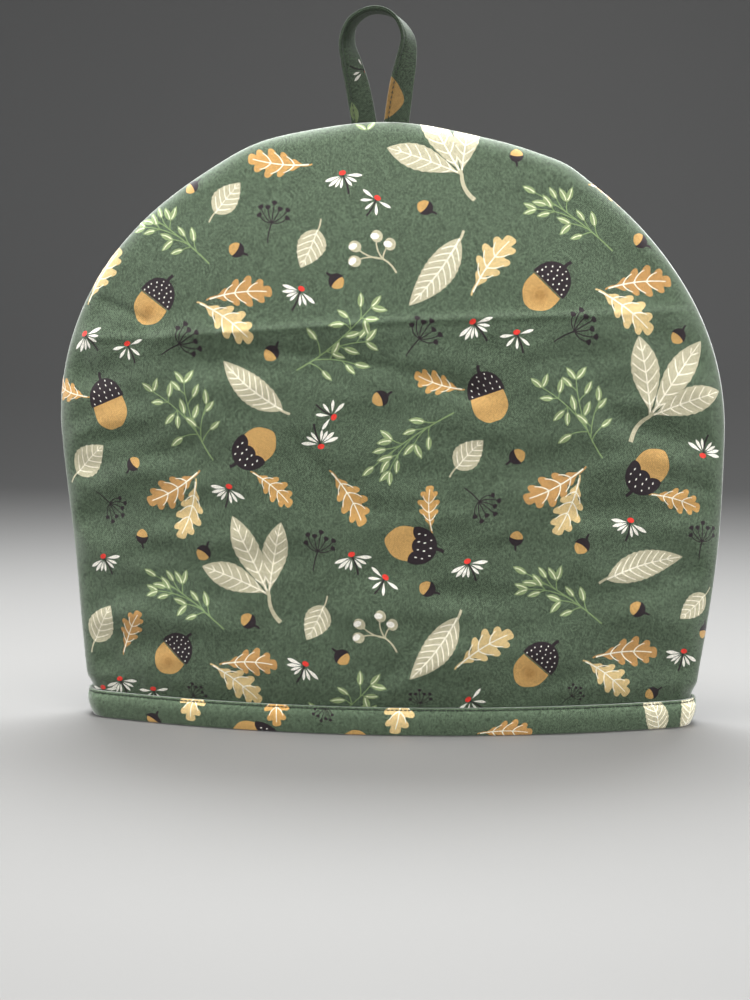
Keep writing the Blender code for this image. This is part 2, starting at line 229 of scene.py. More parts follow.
class Motifs:
    """The print's drawings, each along +x from its origin, one unit or its real size long."""

    CAP_HALF = 0.325
    OAK_SIDE = (
        (0.15, 0.01), (0.22, 0.05), (0.27, 0.088), (0.315, 0.098), (0.335, 0.078), (0.345, 0.058),
        (0.375, 0.085), (0.42, 0.165), (0.475, 0.205), (0.515, 0.19), (0.52, 0.14), (0.515, 0.098),
        (0.555, 0.125), (0.61, 0.205), (0.665, 0.24), (0.71, 0.22), (0.712, 0.165), (0.705, 0.112),
        (0.75, 0.12), (0.8, 0.17), (0.85, 0.185), (0.885, 0.16), (0.885, 0.115), (0.88, 0.08),
        (0.92, 0.085), (0.965, 0.085), (0.995, 0.05), (1.0, 0.0),
    )
    SPRAY = (-0.03, (6,), (
        (0.20, -35, 0.12, (-40,), ()),
        (0.27, -18, 0.16, (-15,), ()),
        (0.62, -53, 0.11, (-23, -72), ()),
        (0.63, -17, 0.17, (-20,), ()),
        (0.74, 28, 0.10, (25,), ()),
        (0.46, 20, 0.46, (13, 56), ((0.57, -18), (0.60, 51))),
        (0.31, 17, 0.22, (13, 82), ()),
        (0.29, 53, 0.10, (55,), ()),
    ))
    FAN = (0.07, (20, -58), (
        (0.25, -55, 0.19, (-72,), ()),
        (0.28, -32, 0.44, (-18,), ((0.30, 32), (0.68, -60))),
        (0.36, 78, 0.20, (105,), ()),
        (0.37, 28, 0.76, (32, -40), (
            (0.32, -5), (0.48, 160), (0.52, 115), (0.72, -30), (0.72, 70),
        )),
        (0.53, -41, 0.03, (-41,), ()),
        (0.74, -60, 0.11, (-47,), ()),
        (0.86, 30, 0.08, (26,), ()),
    ))
    BUSH = (-0.05, (10, -50), (
        (0.15, -70, 0.15, (-85,), ()),
        (0.20, -45, 0.42, (-50,), ((0.40, 20), (0.68, -85))),
        (0.32, -25, 0.46, (10, -75), ((0.10, -60), (0.45, -60), (0.78, 15))),
        (0.28, 58, 0.16, (90,), ()),
        (0.58, -25, 0.03, (-25,), ()),
        (0.70, 60, 0.12, (105,), ()),
        (0.70, 95, 0.08, (145,), ()),
        (0.84, 50, 0.12, (50,), ()),
        (0.86, -60, 0.03, (-40, -115), ()),
    ))

    @classmethod
    def oak_leaf(cls, size: float, ink: Ink) -> list[Shape]:
        """A leaf with rounded lobes swept forward, its stem, a pale midrib and a vein to each lobe.

        Args:
            size: its length in mm from the end of its stem to its tip.
            ink: the colour of its blade.

        Returns:
            Its shapes in painting order.
        """
        upper = smooth_path(np.array(cls.OAK_SIDE), 66)
        lower = upper * [1.0, -0.94] - [0.018, 0.0] * np.sin(math.pi * upper[:, [0]])
        blade = np.vstack([lower, upper[::-1][1:]])
        stem = arc((0.0, 0.0), (0.2, 0.0), 0.08)
        shapes = [(ink, stroke(stem, 0.026, 1.0)), (ink, blade)]
        shapes.append((Ink.VEIN, stroke(arc((0.05, 0.0), (0.92, 0.0), 0.006, 8), 0.024, 0.6)))
        veins = ((0.27, 0.425, 0.130), (0.44, 0.62, 0.170), (0.63, 0.80, 0.130))
        for side in (1.0, -1.0):
            for start, end, rise in veins:
                tip = (end - (0.018 if side < 0 else 0.0), side * rise)
                shapes.append((Ink.VEIN, stroke(arc((start, 0.0), tip, 0.10 * side), 0.020, 0.6)))
        return [(hue, size * cls.bowed(part, 0.05)) for hue, part in shapes]

    @staticmethod
    def bowed(part: Array, bow: float) -> Array:
        """Bends a unit drawing sideways by a parabola along its length."""
        along = part[:, 0]
        return part + columns(np.zeros(len(part)), 4.0 * bow * along * (1.0 - along))

    @classmethod
    def veined_leaf(cls, size: float, half: float, start: float, pairs: int, bow: float,
                    belly: float = 0.74) -> list[Shape]:
        """A beige leaf with a light midrib and straight side veins that slant forward.

        Args:
            size: its length in mm with its stem.
            half: half its width as a share of the length.
            start: where its blade starts, as a share of the length.
            pairs: how many pairs of side veins it has.
            bow: how far its line bows to the side.
            belly: under 1 its widest place is nearer its stem, over 1 nearer its tip.

        Returns:
            Its shapes in painting order.
        """
        shapes = [(Ink.BEIGE, stroke(arc((0.0, 0.0), (start + 0.08, 0.0), 0.05), 0.030, 1.0))]
        blade = leaf_blade(start, 1.0, half, belly, 60)
        teeth = (1.6 * pairs * (blade[:, 0] - start) / (1.0 - start)) % 1.0
        fade = np.sin(math.pi * (blade[:, 0] - start) / (1.0 - start))
        ripple = 1.0 + 0.11 * (0.5 - teeth) * fade
        shapes.append((Ink.BEIGE, blade * columns(np.ones(len(blade)), ripple)))
        shapes.append((Ink.VEIN, stroke(arc((start, 0.0), (0.97, 0.0), 0.0, 8), 0.020, 0.5)))
        width = max(0.016, 0.55 / size)
        for place in np.linspace(0.10, 0.80, pairs):
            reach = half * math.sin(math.pi * min(place + 0.12, 0.98) ** belly) ** 0.85 * 0.86
            root = start + (1.0 - start) * place
            for side in (1.0, -1.0):
                tip = (root + 0.75 * reach + 0.03, side * reach)
                vein = stroke(arc((root, 0.0), tip, 0.05 * side, 3), width, 0.7)
                shapes.append((Ink.VEIN, vein))
        return [(hue, size * cls.bowed(part, bow)) for hue, part in shapes]

    @classmethod
    def small_leaf(cls, size: float) -> list[Shape]:
        """A short broad leaf on a stem."""
        return cls.veined_leaf(size, 0.27, 0.22, 5, 0.03)

    @classmethod
    def long_leaf(cls, size: float) -> list[Shape]:
        """A long leaf on a short stem."""
        return cls.veined_leaf(size, 0.168, 0.10, 8, 0.05, 0.84)

    @classmethod
    def trefoil(cls, size: float) -> list[Shape]:
        """Three long leaves from one point, with one bowed stem behind it.

        Args:
            size: the length in mm of the middle leaf.

        Returns:
            Its shapes in painting order.
        """
        stem = stroke(arc((0.0, 0.0), (-0.36, 0.02), -0.12), 0.040, 1.3)
        shapes = [(Ink.BEIGE, size * stem)]
        leaves = ((0.0, 1.03, 0.15, 0.01), (44.0, 0.90, 0.18, -0.02), (-36.0, 0.88, 0.175, 0.02))
        for turn, share, half, bow in leaves:
            leaf = cls.veined_leaf(size * share, half, 0.05, 6, bow, 1.22)
            shapes += [(hue, placed(part, 0.0, 0.0, turn)) for hue, part in leaf]
        return shapes

    @staticmethod
    def nut(size: float, half: float, blunt: float = 0.0) -> Shape:
        """An acorn's nut from its point at 0 to 0.56: straight shoulders, then full sides.

        Args:
            size: the acorn's length in mm.
            half: half the nut's width as a share of that.
            blunt: 0 for a pointed nut to 1 for one with a flat end.

        Returns:
            Its ink and outline.
        """
        t = np.array([0.0, 0.03, 0.08, 0.15, 0.24, 0.35, 0.48, 0.62, 0.75, 0.88, 1.0])
        pointed = np.array([0.06, 0.22, 0.38, 0.55, 0.74, 0.88, 0.97, 1.0, 0.99, 0.96, 0.92])
        flat_end = np.array([0.30, 0.44, 0.58, 0.72, 0.86, 0.96, 1.0, 1.0, 0.98, 0.95, 0.92])
        width = half * (pointed + (flat_end - pointed) * blunt)
        side = smooth_path(columns(0.56 * t, width), 26)
        return Ink.NUT, size * closed_outline(side[:, 0], side[:, 1])

    @classmethod
    def cap(cls, size: float, scallops: int, marks: tuple) -> list[Shape]:
        """An acorn's dark cap with its stem and white marks.

        Args:
            size: the acorn's length in mm.
            scallops: how many scallops its lower edge has, or none for a smooth edge.
            marks: rows of place along, reach to each side, count, and half length and half width.

        Returns:
            Its shapes in painting order.
        """
        half = cls.CAP_HALF
        angle = np.linspace(-QUARTER, QUARTER, 24)
        base = 0.51 if scallops else 0.475
        rise = base + (0.88 - base) * np.cos(angle) ** 0.9
        crown = columns(rise, half * np.sin(angle))
        across = np.linspace(half, -half, 37)
        wave = 0.052 * np.abs(np.sin(math.pi * 0.5 * scallops * (across + half) / half)) ** 0.7
        sag = 0.05 * (across / half) ** 2 * (scallops > 0)
        edge = columns(base - wave - sag, across)[1:-1]
        shapes = [(Ink.DARK, size * np.vstack([crown, edge]))]
        shapes.append((Ink.DARK, size * stroke(arc((0.85, 0.0), (1.0, -0.02), 0.1, 4), 0.060, 0.9)))
        for row, (x, reach, count, long, wide) in enumerate(marks):
            for k, y in enumerate(np.linspace(-reach, reach, count)):
                share = 0.8 if (k + row) % 3 == 1 else 1.0
                sway = 0.016 * math.cos(9.0 * y + x)
                tick = oval(x + sway, y, long * share, wide, 14.0 + 50.0 * y, 8)
                shapes.append((Ink.WHITE, size * tick))
        return shapes

    @classmethod
    def dotted_acorn(cls, size: float) -> list[Shape]:
        """A large acorn whose smooth cap is set with white dots, with a gap above the nut.

        Args:
            size: its length in mm.

        Returns:
            Its shapes in painting order.
        """
        shapes = [cls.nut(size, 0.295, 0.4)]
        shapes.append((Ink.NUT_SHADE, size * oval(0.26, -0.01, 0.15, 0.15)))
        shapes.append((Ink.NUT_HEART, size * oval(0.27, -0.02, 0.08, 0.08)))
        gap = stroke(arc((0.462, 0.31), (0.462, -0.31), 0.0, 10), 0.022, 1.0)
        shapes.append((Ink.GROUND, size * gap[::-1]))
        marks = (
            (0.52, 0.26, 6, 0.015, 0.011), (0.595, 0.23, 5, 0.018, 0.012),
            (0.67, 0.22, 5, 0.014, 0.011), (0.745, 0.15, 4, 0.017, 0.011),
            (0.815, 0.06, 2, 0.013, 0.010),
        )
        return shapes + cls.cap(size, 0, marks)

    @classmethod
    def ticked_acorn(cls, size: float) -> list[Shape]:
        """A large acorn whose smooth cap is set with rows of short white ticks."""
        marks = (
            (0.53, 0.25, 5, 0.022, 0.009), (0.63, 0.23, 5, 0.022, 0.009),
            (0.73, 0.18, 4, 0.022, 0.009), (0.81, 0.07, 2, 0.018, 0.009),
        )
        return [cls.nut(size, 0.305, 1.0)] + cls.cap(size, 0, marks)

    @classmethod
    def notched_acorn(cls, size: float) -> list[Shape]:
        """A large acorn whose cap has a scalloped edge and a few short white ticks."""
        marks = (
            (0.555, 0.20, 4, 0.024, 0.011), (0.660, 0.20, 4, 0.024, 0.011),
            (0.765, 0.13, 3, 0.022, 0.011),
        )
        return [cls.nut(size, 0.295)] + cls.cap(size, 3, marks)

    @classmethod
    def small_acorn(cls, size: float) -> list[Shape]:
        """A little acorn with a plain dark cap and a stem.

        Args:
            size: its length in mm.

        Returns:
            Its shapes in painting order.
        """
        shapes = [cls.nut(size, 0.34)]
        angle = np.linspace(-QUARTER, QUARTER, 14)
        cap = columns(0.36 + 0.46 * np.cos(angle), 0.40 * np.sin(angle))
        rim = arc((0.36, 0.40), (0.36, -0.40), 0.12, 8)[1:-1]
        shapes.append((Ink.DARK, size * np.vstack([cap, rim])))
        shapes.append((Ink.DARK, size * stroke(arc((0.80, 0.0), (1.08, 0.06), 0.1, 4), 0.13, 0.7)))
        return shapes

    @staticmethod
    def umbel(size: float) -> list[Shape]:
        """A dark flower head: a thin stem and seven curved rays, each with a three-lobed head.

        Args:
            size: its length in mm.

        Returns:
            Its shapes in painting order.
        """
        shapes = [(Ink.DARK, size * stroke(arc((0.0, 0.0), (0.52, 0.0), 0.04), 0.026, 1.3))]
        rays = (
            (-66, 0.36), (-42, 0.46), (-20, 0.36), (4, 0.47), (26, 0.37), (46, 0.46), (70, 0.34),
        )
        for turn, reach in rays:
            way = math.radians(turn)
            tip = np.array([0.52 + reach * math.cos(way), reach * math.sin(way)])
            ray = arc((0.52, 0.0), tuple(tip), turn / 500.0)
            shapes.append((Ink.DARK, size * stroke(ray, 0.026, 0.9)))
            for lean in (-34.0, 0.0, 34.0):
                lobe = placed(oval(0.042, 0.0, 0.062, 0.037, 0.0, 8), *tip, 0.6 * turn + lean)
                shapes.append((Ink.DARK, size * lobe))
        return shapes

    @staticmethod
    def daisy(size: float, petals: tuple, root: float = 1.5) -> list[Shape]:
        """A flower seen from the side: narrow petals fanned about a dark stem under a red eye.

        Args:
            size: the stem's length in mm.
            petals: the turn in degrees and the length in mm of each petal.
            root: how far from the eye's middle the petals start, in mm.

        Returns:
            Its shapes in painting order.
        """
        shapes = [(Ink.DARK, size * stroke(arc((0.10, 0.0), (1.0, 0.04), 0.05), 0.060, 1.6))]
        for turn, length in petals:
            t = 0.5 - 0.5 * np.cos(np.linspace(0.0, math.pi, 12))
            half = (0.085 * length + 0.22) * np.sin(math.pi * t**1.5) ** 0.8
            part = closed_outline(root + length * t, half)
            shapes.append((Ink.WHITE, placed(part, 0.7, 0.0, turn)))
        shapes.append((Ink.DARK, oval(0.9, 0.0, 0.9, 0.7, 0.0, 8)))
        shapes.append((Ink.RED, oval(-0.5, 0.0, 1.25, 1.75, 0.0, 12)))
        return shapes

    @classmethod
    def wide_daisy(cls, size: float) -> list[Shape]:
        """A daisy with seven petals."""
        petals = (
            (-84, 7.8), (-64, 7.4), (-44, 5.8), (-22, 5.4), (24, 5.8), (48, 6.2), (74, 8.0),
        )
        return cls.daisy(size, petals)

    @classmethod
    def spare_daisy(cls, size: float) -> list[Shape]:
        """A daisy with six short petals set well apart."""
        petals = ((-150, 6.0), (-126, 5.6), (-98, 5.0), (-54, 3.6), (36, 4.2), (58, 5.6))
        return cls.daisy(size, petals, 2.6)

    @classmethod
    def narrow_daisy(cls, size: float) -> list[Shape]:
        """A daisy with five petals."""
        return cls.daisy(size, ((-98, 7.0), (-58, 6.2), (-16, 5.6), (34, 6.4), (92, 6.8)))

    @staticmethod
    def bud_leaf(length: float) -> list[Shape]:
        """A small pointed leaf with a thin light streak that bows along it.

        Args:
            length: its length in mm.

        Returns:
            Its blade and its streak.
        """
        blade = leaf_blade(0.0, 1.10 * length, 0.225 * length, 0.9, 12)
        ends = (0.14 * length, 0.01 * length), (0.94 * length, 0.02 * length)
        return [(Ink.SPRIG, blade), (Ink.STREAK, stroke(arc(*ends, -0.07, 5), 0.085 * length, 0.7))]

    @classmethod
    def sprig(cls, size: float, bow: float, ends: tuple, twigs: tuple) -> list[Shape]:
        """A leafy spray: a bowed stem with twigs that carry small leaves.

        Args:
            size: the stem's length in mm.
            bow: how far the stem bows to the side, as a share of its length.
            ends: the turns of the leaves at the stem's end.
            twigs: for each twig its place on the stem, its turn, its length, the turns of the
                leaves at its end, and places and turns of leaves on stalks along it.

        Returns:
            Its shapes in painting order.
        """
        stem = size * arc((0.0, 0.0), (1.0, 0.0), bow, 12)
        lines, leaves = [stroke(stem, 0.75, 0.6)], [(stem[-1], turn) for turn in ends]
        for place, turn, reach, tips, along in twigs:
            root = np.array([np.interp(place * 12, np.arange(13), stem[:, k]) for k in (0, 1)])
            way = np.array([math.cos(math.radians(turn)), math.sin(math.radians(turn))])
            bend = 0.06 * math.copysign(1.0, -turn)
            path = arc(tuple(root), tuple(root + size * reach * way), bend, 10)
            lines.append(stroke(path, 0.60, 0.8))
            leaves += [(path[-1], tip) for tip in tips]
            for share, lean in along:
                start = path[round(10 * share)]
                off = np.array([math.cos(math.radians(lean)), math.sin(math.radians(lean))])
                stalk = start + 2.2 * off
                lines.append(stroke([start, stalk], 0.55, 0.9))
                leaves.append((stalk, lean))
        shapes = [(Ink.STEM, line) for line in lines]
        for k, (at, turn) in enumerate(leaves):
            leaf = cls.bud_leaf(7.0 + 0.6 * math.sin(2.3 * k))
            shapes += [(hue, placed(part, at[0], at[1], turn)) for hue, part in leaf]
        return shapes

    @classmethod
    def lone_leaf(cls, size: float) -> list[Shape]:
        """One plain pointed leaf without a stem or a streak."""
        return cls.bud_leaf(size)[:1]

    @classmethod
    def spray(cls, size: float) -> list[Shape]:
        """A long sprig whose twigs keep close to its stem."""
        return cls.sprig(size, *cls.SPRAY)

    @classmethod
    def fan(cls, size: float) -> list[Shape]:
        """A broad sprig that opens from low down."""
        return cls.sprig(size, *cls.FAN)

    @classmethod
    def bush(cls, size: float) -> list[Shape]:
        """A tall sprig with leaves on stalks to both sides."""
        return cls.sprig(size, *cls.BUSH)

    @staticmethod
    def berries(size: float) -> list[Shape]:
        """Four round beige berries with light halves, on curved stems.

        Args:
            size: the scale, 19 for its drawn size in mm.

        Returns:
            Its shapes in painting order.
        """
        scale = size / 19.0
        node = np.array([9.5, 0.8])
        shapes = [(Ink.BEIGE, scale * stroke(arc((0.0, 0.0), tuple(node), -0.08), 0.9, 0.9))]
        twigs = ((35, 21.0, -0.1), (18, 24.0, 0.1), (-11, 20.5, 0.12), (-26, 14.5, 0.1))
        for turn, reach, lean in twigs:
            way = math.radians(turn)
            at = np.array([reach * math.cos(way), reach * math.sin(way)])
            shapes.append((Ink.BEIGE, scale * stroke(arc(tuple(node), tuple(at), lean), 0.8, 0.8)))
            shapes.append((Ink.BEIGE, scale * oval(at[0], at[1], 3.2, 2.8, turn)))
            light_half = oval(at[0] + 0.7, at[1] + 0.8, 2.2, 1.6, turn + 60.0, 10)
            shapes.append((Ink.WHITE, scale * light_half))
        return shapes


# A row of a chart: place across and up the flat cloth, turn in degrees, and size, all else in mm.
Drawing = Callable[[float], list[Shape]]
Row = tuple[float, float, float, float]
Chart = tuple[tuple[Drawing, tuple[Row, ...]], ...]


def oak(ink: Ink) -> Drawing:
    """An oak leaf drawn in one ink."""
    return lambda size: Motifs.oak_leaf(size, ink)


FRONT_CHART: Chart = (
    (Motifs.trefoil, ((37, 276, 117, 43), (130, 156, 54, 44), (-56, 69, 116, 41))),
    (Motifs.long_leaf, (
        (-45, 157, 143, 42), (38, 246, -125, 45), (38, 63, -126, 42), (105, 75, 16, 43),
    )),
    (Motifs.small_leaf, (
        (-87, 251, 52, 25), (-31, 252, -111, 26), (-164, 121, 43, 28), (32, 127, 48, 24),
        (-27, 69, -115, 24), (-155, 34, 64, 28), (163, 71, -138, 22),
    )),
    (oak(Ink.TAN), (
        (-87, 212, 7, 33), (108, 218, 7, 34), (-82, 33, 2, 30), (103, 38, 2, 33),
        (-91, 129, -150, 33), (98, 132, -152, 34), (-136, 34, 65, 26),
    )),
    (oak(Ink.PALE), (
        (-92, 211, -34, 34), (103, 218, -37, 35), (-87, 33, -36, 32), (98, 37, -38, 30),
        (-93, 125, -107, 31), (95, 128, -112, 31), (42, 214, 55, 35), (-152, 210, 58, 33),
        (35, 34, 32, 33),
    )),
    (oak(Ink.GOLD), (
        (-36, 280, 175, 32), (-26, 130, -58, 31), (39, 169, 163, 25), (-65, 129, -39, 26),
        (24, 100, 93, 23), (129, 118, -17, 27), (-150, 164, 163, 25), (100, 270, -15, 30),
        (170, 110, -70, 30),
    )),
    (Motifs.dotted_acorn, (
        (-122, 201, 54, 29), (69, 209, 46, 31), (-115, 28, 48, 27), (66, 26, 48, 29),
    )),
    (Motifs.ticked_acorn, ((-135, 149, 111, 29), (54, 154, 109, 28))),
    (Motifs.notched_acorn, ((-53, 148, -142, 28), (1, 97, -11, 29), (137, 139, -131, 29))),
    (Motifs.small_acorn, (
        (-100, 267, 43, 9), (-76, 239, -31, 10), (-20, 218, 133, 10), (16, 260, -36, 10),
        (64, 289, -95, 9), (123, 245, -38, 10), (-57, 183, 50, 10), (-5, 163, 24, 10),
        (142, 192, 49, 10), (-124, 134, -135, 9), (68, 139, -150, 10), (-123, 99, -94, 9),
        (65, 101, -100, 9), (-92, 85, 56, 10), (94, 90, 55, 10), (-70, 58, -37, 10),
        (18, 75, -30, 10), (121, 64, -32, 10), (-17, 36, 132, 10), (131, 17, 25, 9),
        (161, 45, 80, 9),
    )),
    (Motifs.umbel, (
        (-57, 240, 80, 20), (-110, 185, 29, 21), (82, 192, 27, 22), (11, 185, 52, 20),
        (-149, 117, -41, 18), (39, 122, -42, 19), (-34, 81, 76, 19), (155, 85, 84, 18),
        (-102, 10, 45, 14), (18, 9, 88, 14), (88, 15, 40, 12),
    )),
    (Motifs.wide_daisy, (
        (-21, 275, -75, 11), (-40, 217, -115, 11), (-152, 195, -50, 11), (43, 201, -55, 11),
        (-30, 142, 105, 11), (157, 137, 71, 10), (-76, 121, -104, 10), (120, 105, -106, 10),
        (-15, 89, -75, 10), (41, 86, -68, 10), (-146, 84, -65, 10), (-38, 35, -118, 10),
        (150, 39, -104, 10), (-138, 21, -71, 10),
    )),
    (Motifs.narrow_daisy, (
        (-4, 262, -122, 10), (-128, 190, -70, 10), (64, 196, -75, 10), (-24, 156, 143, 10),
        (1, 78, -126, 9), (-119, 17, -80, 9), (42, 18, -40, 10), (-149, 15, -84, 8),
    )),
    (Motifs.spray, (
        (-86, 230, 143, 44), (112, 237, 144, 48), (-79, 51, 146, 44), (107, 55, 146, 45),
        (34, 158, -146, 46),
    )),
    (Motifs.bush, ((-42, 178, 40, 47), (-42, -5, 40, 47))),
    (Motifs.fan, ((-84, 134, 111, 40), (106, 136, 109, 40))),
    (Motifs.bud_leaf, ((-10, 298.5, 140, 7), (-9.5, 298.5, 65, 7))),
    (Motifs.berries, ((6, 225, 129, 19), (7, 42, 125, 18))),
)


@dataclass(frozen=True)
class ClothPrint:
    """A printed cloth laid flat: which drawings it shows and where."""

    chart: Chart
    mirrored: bool = False

    def shapes(self) -> list[Shape]:
        """Draws each row of the chart at its place.

        Returns:
            Inks and outlines in mm, in painting order.
        """
        drawn = []
        for draw, rows in self.chart:
            for u, v, turn, size in rows:
                if self.mirrored:
                    u, turn = -u, 180.0 - turn
                drawn += [(ink, placed(part, u, v, turn)) for ink, part in draw(size)]
        return drawn


@dataclass(frozen=True)
class CutCloth:
    """Flat cloth cut into triangles along the edges of its print."""

    flat: Array
    triangles: Array
    inks: Array

    @classmethod
    def cut(cls, border: Array, inner: Array, shapes: list[Shape]) -> "CutCloth":
        """Divides the cloth so that every drawing's edge is an edge of the mesh.

        Each triangle takes the ink of the last drawing that covers it.

        Args:
            border: the cloth's edge in mm, anticlockwise.
            inner: loose points inside it.
            shapes: the print's inks and outlines.

        Returns:
            The divided cloth.
        """
        points, faces, first = [border], [list(range(len(border)))], len(border)
        low, high = border.min(axis=0) - 1.0, border.max(axis=0) + 1.0
        inks = [Ink.GROUND]
        for ink, part in shapes:
            if (part.max(axis=0) < low).any() or (part.min(axis=0) > high).any():
                continue
            u, v = part[:, 0], part[:, 1]
            area = np.sum(u * np.roll(v, -1) - v * np.roll(u, -1))
            points.append(part if area > 0.0 else part[::-1])
            faces.append(list(range(first, first + len(part))))
            inks.append(ink)
            first += len(part)
        points.append(inner)
        every = [Vector(point) for point in np.concatenate(points).tolist()]
        made, _, triangles, _, _, sources = delaunay_2d_cdt(
            every, [], faces, CUT_INSIDE, CUT_TOLERANCE, True)
        kept = np.array([0 in source for source in sources])
        top = np.array([max(source) if source else 0 for source in sources])
        flat = np.array([tuple(point) for point in made])
        corners = np.array([face[:3] for face in triangles])[kept]
        order = np.array([list(Ink).index(ink) for ink in inks])
        return cls(flat, corners, order[top[kept]])


def strip_border(length: float, wrap: float, along_count: int, wrap_count: int) -> Array:
    """The edge of a flat strip: its four sides, each cut into equal steps.

    Args:
        length, wrap: its length and width in mm.
        along_count, wrap_count: how many points each side has, with both ends.

    Returns:
        The edge in mm, anticlockwise from its first corner.
    """
    along, over = np.linspace(0.0, length, along_count), np.linspace(0.0, wrap, wrap_count)
    return np.vstack([
        columns(along[:-1], np.zeros(along_count - 1)),
        columns(np.full(wrap_count - 1, length), over[:-1]),
        columns(along[:0:-1], np.full(along_count - 1, wrap)),
        columns(np.zeros(wrap_count - 1), over[:0:-1]),
    ])


def in_scene(name: str, data: bpy.types.ID) -> bpy.types.Object:
    """Makes an object from a mesh, lamp or lens and links it into the scene.

    Args:
        name: the object's name.
        data: what it holds.

    Returns:
        The object, at the origin.
    """
    made = bpy.data.objects.new(name, data)
    bpy.context.scene.collection.objects.link(made)
    return made


def hex_points(low: tuple[float, float], high: tuple[float, float], pitch: float) -> Array:
    """Evenly spaced points in rows set half a step apart, over a rectangle.

    Args:
        low, high: its corners in mm.
        pitch: the distance between neighbours in mm.

    Returns:
        The points, one a row.
    """
    across = np.arange(low[0], high[0], pitch)
    up = np.arange(low[1], high[1], pitch * math.sqrt(0.75))
    x, y = np.meshgrid(across, up)
    x = x + 0.5 * pitch * (np.arange(len(up)) % 2)[:, None]
    return columns(x.ravel(), y.ravel())


@dataclass
class Shell:
    """A mesh in the making: corners of triangles with their flat places, inks and directions."""

    points: list[Array] = field(default_factory=list)
    normals: list[Array] = field(default_factory=list)
    triangles: list[Array] = field(default_factory=list)
    flat: list[Array] = field(default_factory=list)
    inks: list[Array] = field(default_factory=list)
    count: int = 0

    def add(self, points: Array, triangles: Array, flat: Array,
            inks: Array, normals: Array | None = None) -> None:
        """Adds one surface.

        Args:
            points: its points in metres.
            triangles: its triangles, numbered from 0.
            flat: the place of each point on the flat cloth in mm.
            inks: the number of each triangle's ink.
            normals: the direction of each point, or none to work them out.
        """
        self.points.append(points)
        self.normals.append(np.full(points.shape, np.nan) if normals is None else normals)
        self.triangles.append(triangles + self.count)
        self.flat.append(flat)
        self.inks.append(inks)
        self.count += len(points)

    def piece(self, name: str, material: bpy.types.Material) -> bpy.types.Object:
        """Welds the surfaces where they meet and makes the object.

        Args:
            name: the piece's name.
            material: its finish.

        Returns:
            The object, at the origin.
        """
        points = np.concatenate(self.points)
        triangles = np.concatenate(self.triangles)
        inks = np.concatenate(self.inks)
        flat = np.concatenate(self.flat)
        given = np.concatenate(self.normals)
        cells = np.round(points / WELD).astype(np.int64)
        _, first, where = np.unique(cells, axis=0, return_index=True, return_inverse=True)
        where = where.reshape(-1)
        welded = where[triangles]
        whole = (welded != np.roll(welded, -1, axis=1)).all(axis=1)
        welded, corners, inks = welded[whole], triangles[whole], inks[whole]
        places = points[first]
        origin = places[welded[:, 0]]
        across = np.cross(places[welded[:, 1]] - origin, places[welded[:, 2]] - origin)
        worked = np.zeros(places.shape)
        for corner in range(3):
            np.add.at(worked, welded[:, corner], across)
        worked = unit(worked)
        known = ~np.isnan(given[:, 0])
        summed = np.zeros(places.shape)
        np.add.at(summed, where[known], given[known])
        length = np.linalg.norm(summed, axis=1, keepdims=True)
        directions = np.where(length > 1e-9, summed / np.maximum(length, 1e-9), worked)
        mesh = bpy.data.meshes.new(name)
        mesh.from_pydata(places, [], welded)
        mesh.update()
        layer = mesh.uv_layers.new(name="cloth")
        layer.data.foreach_set("uv", (flat[corners.reshape(-1)] * MM).ravel())
        table = np.array([ink.value for ink in Ink])
        table[1:, 3] = INK_HEATHER
        colours = mesh.color_attributes.new("print", "FLOAT_COLOR", "CORNER")
        colours.data.foreach_set("color", np.repeat(table[inks], 3, axis=0).ravel())
        mesh.shade_smooth()
        mesh.normals_split_custom_set_from_vertices(directions.tolist())
        mesh.materials.append(material)
        return in_scene(name, mesh)


@dataclass(frozen=True)
class Pull:
    """A place where the seam is drawn in or pushed out by its stitching."""

    x: float
    z: float
    dx: float
    dz: float
    reach: float


@dataclass(frozen=True)
class Fold:
    """A crease along a bent line: a rise above zero is a ridge, below zero a trough."""

    start: tuple[float, float]
    bend: tuple[float, float]
    end: tuple[float, float]
    rise: float
    width: float


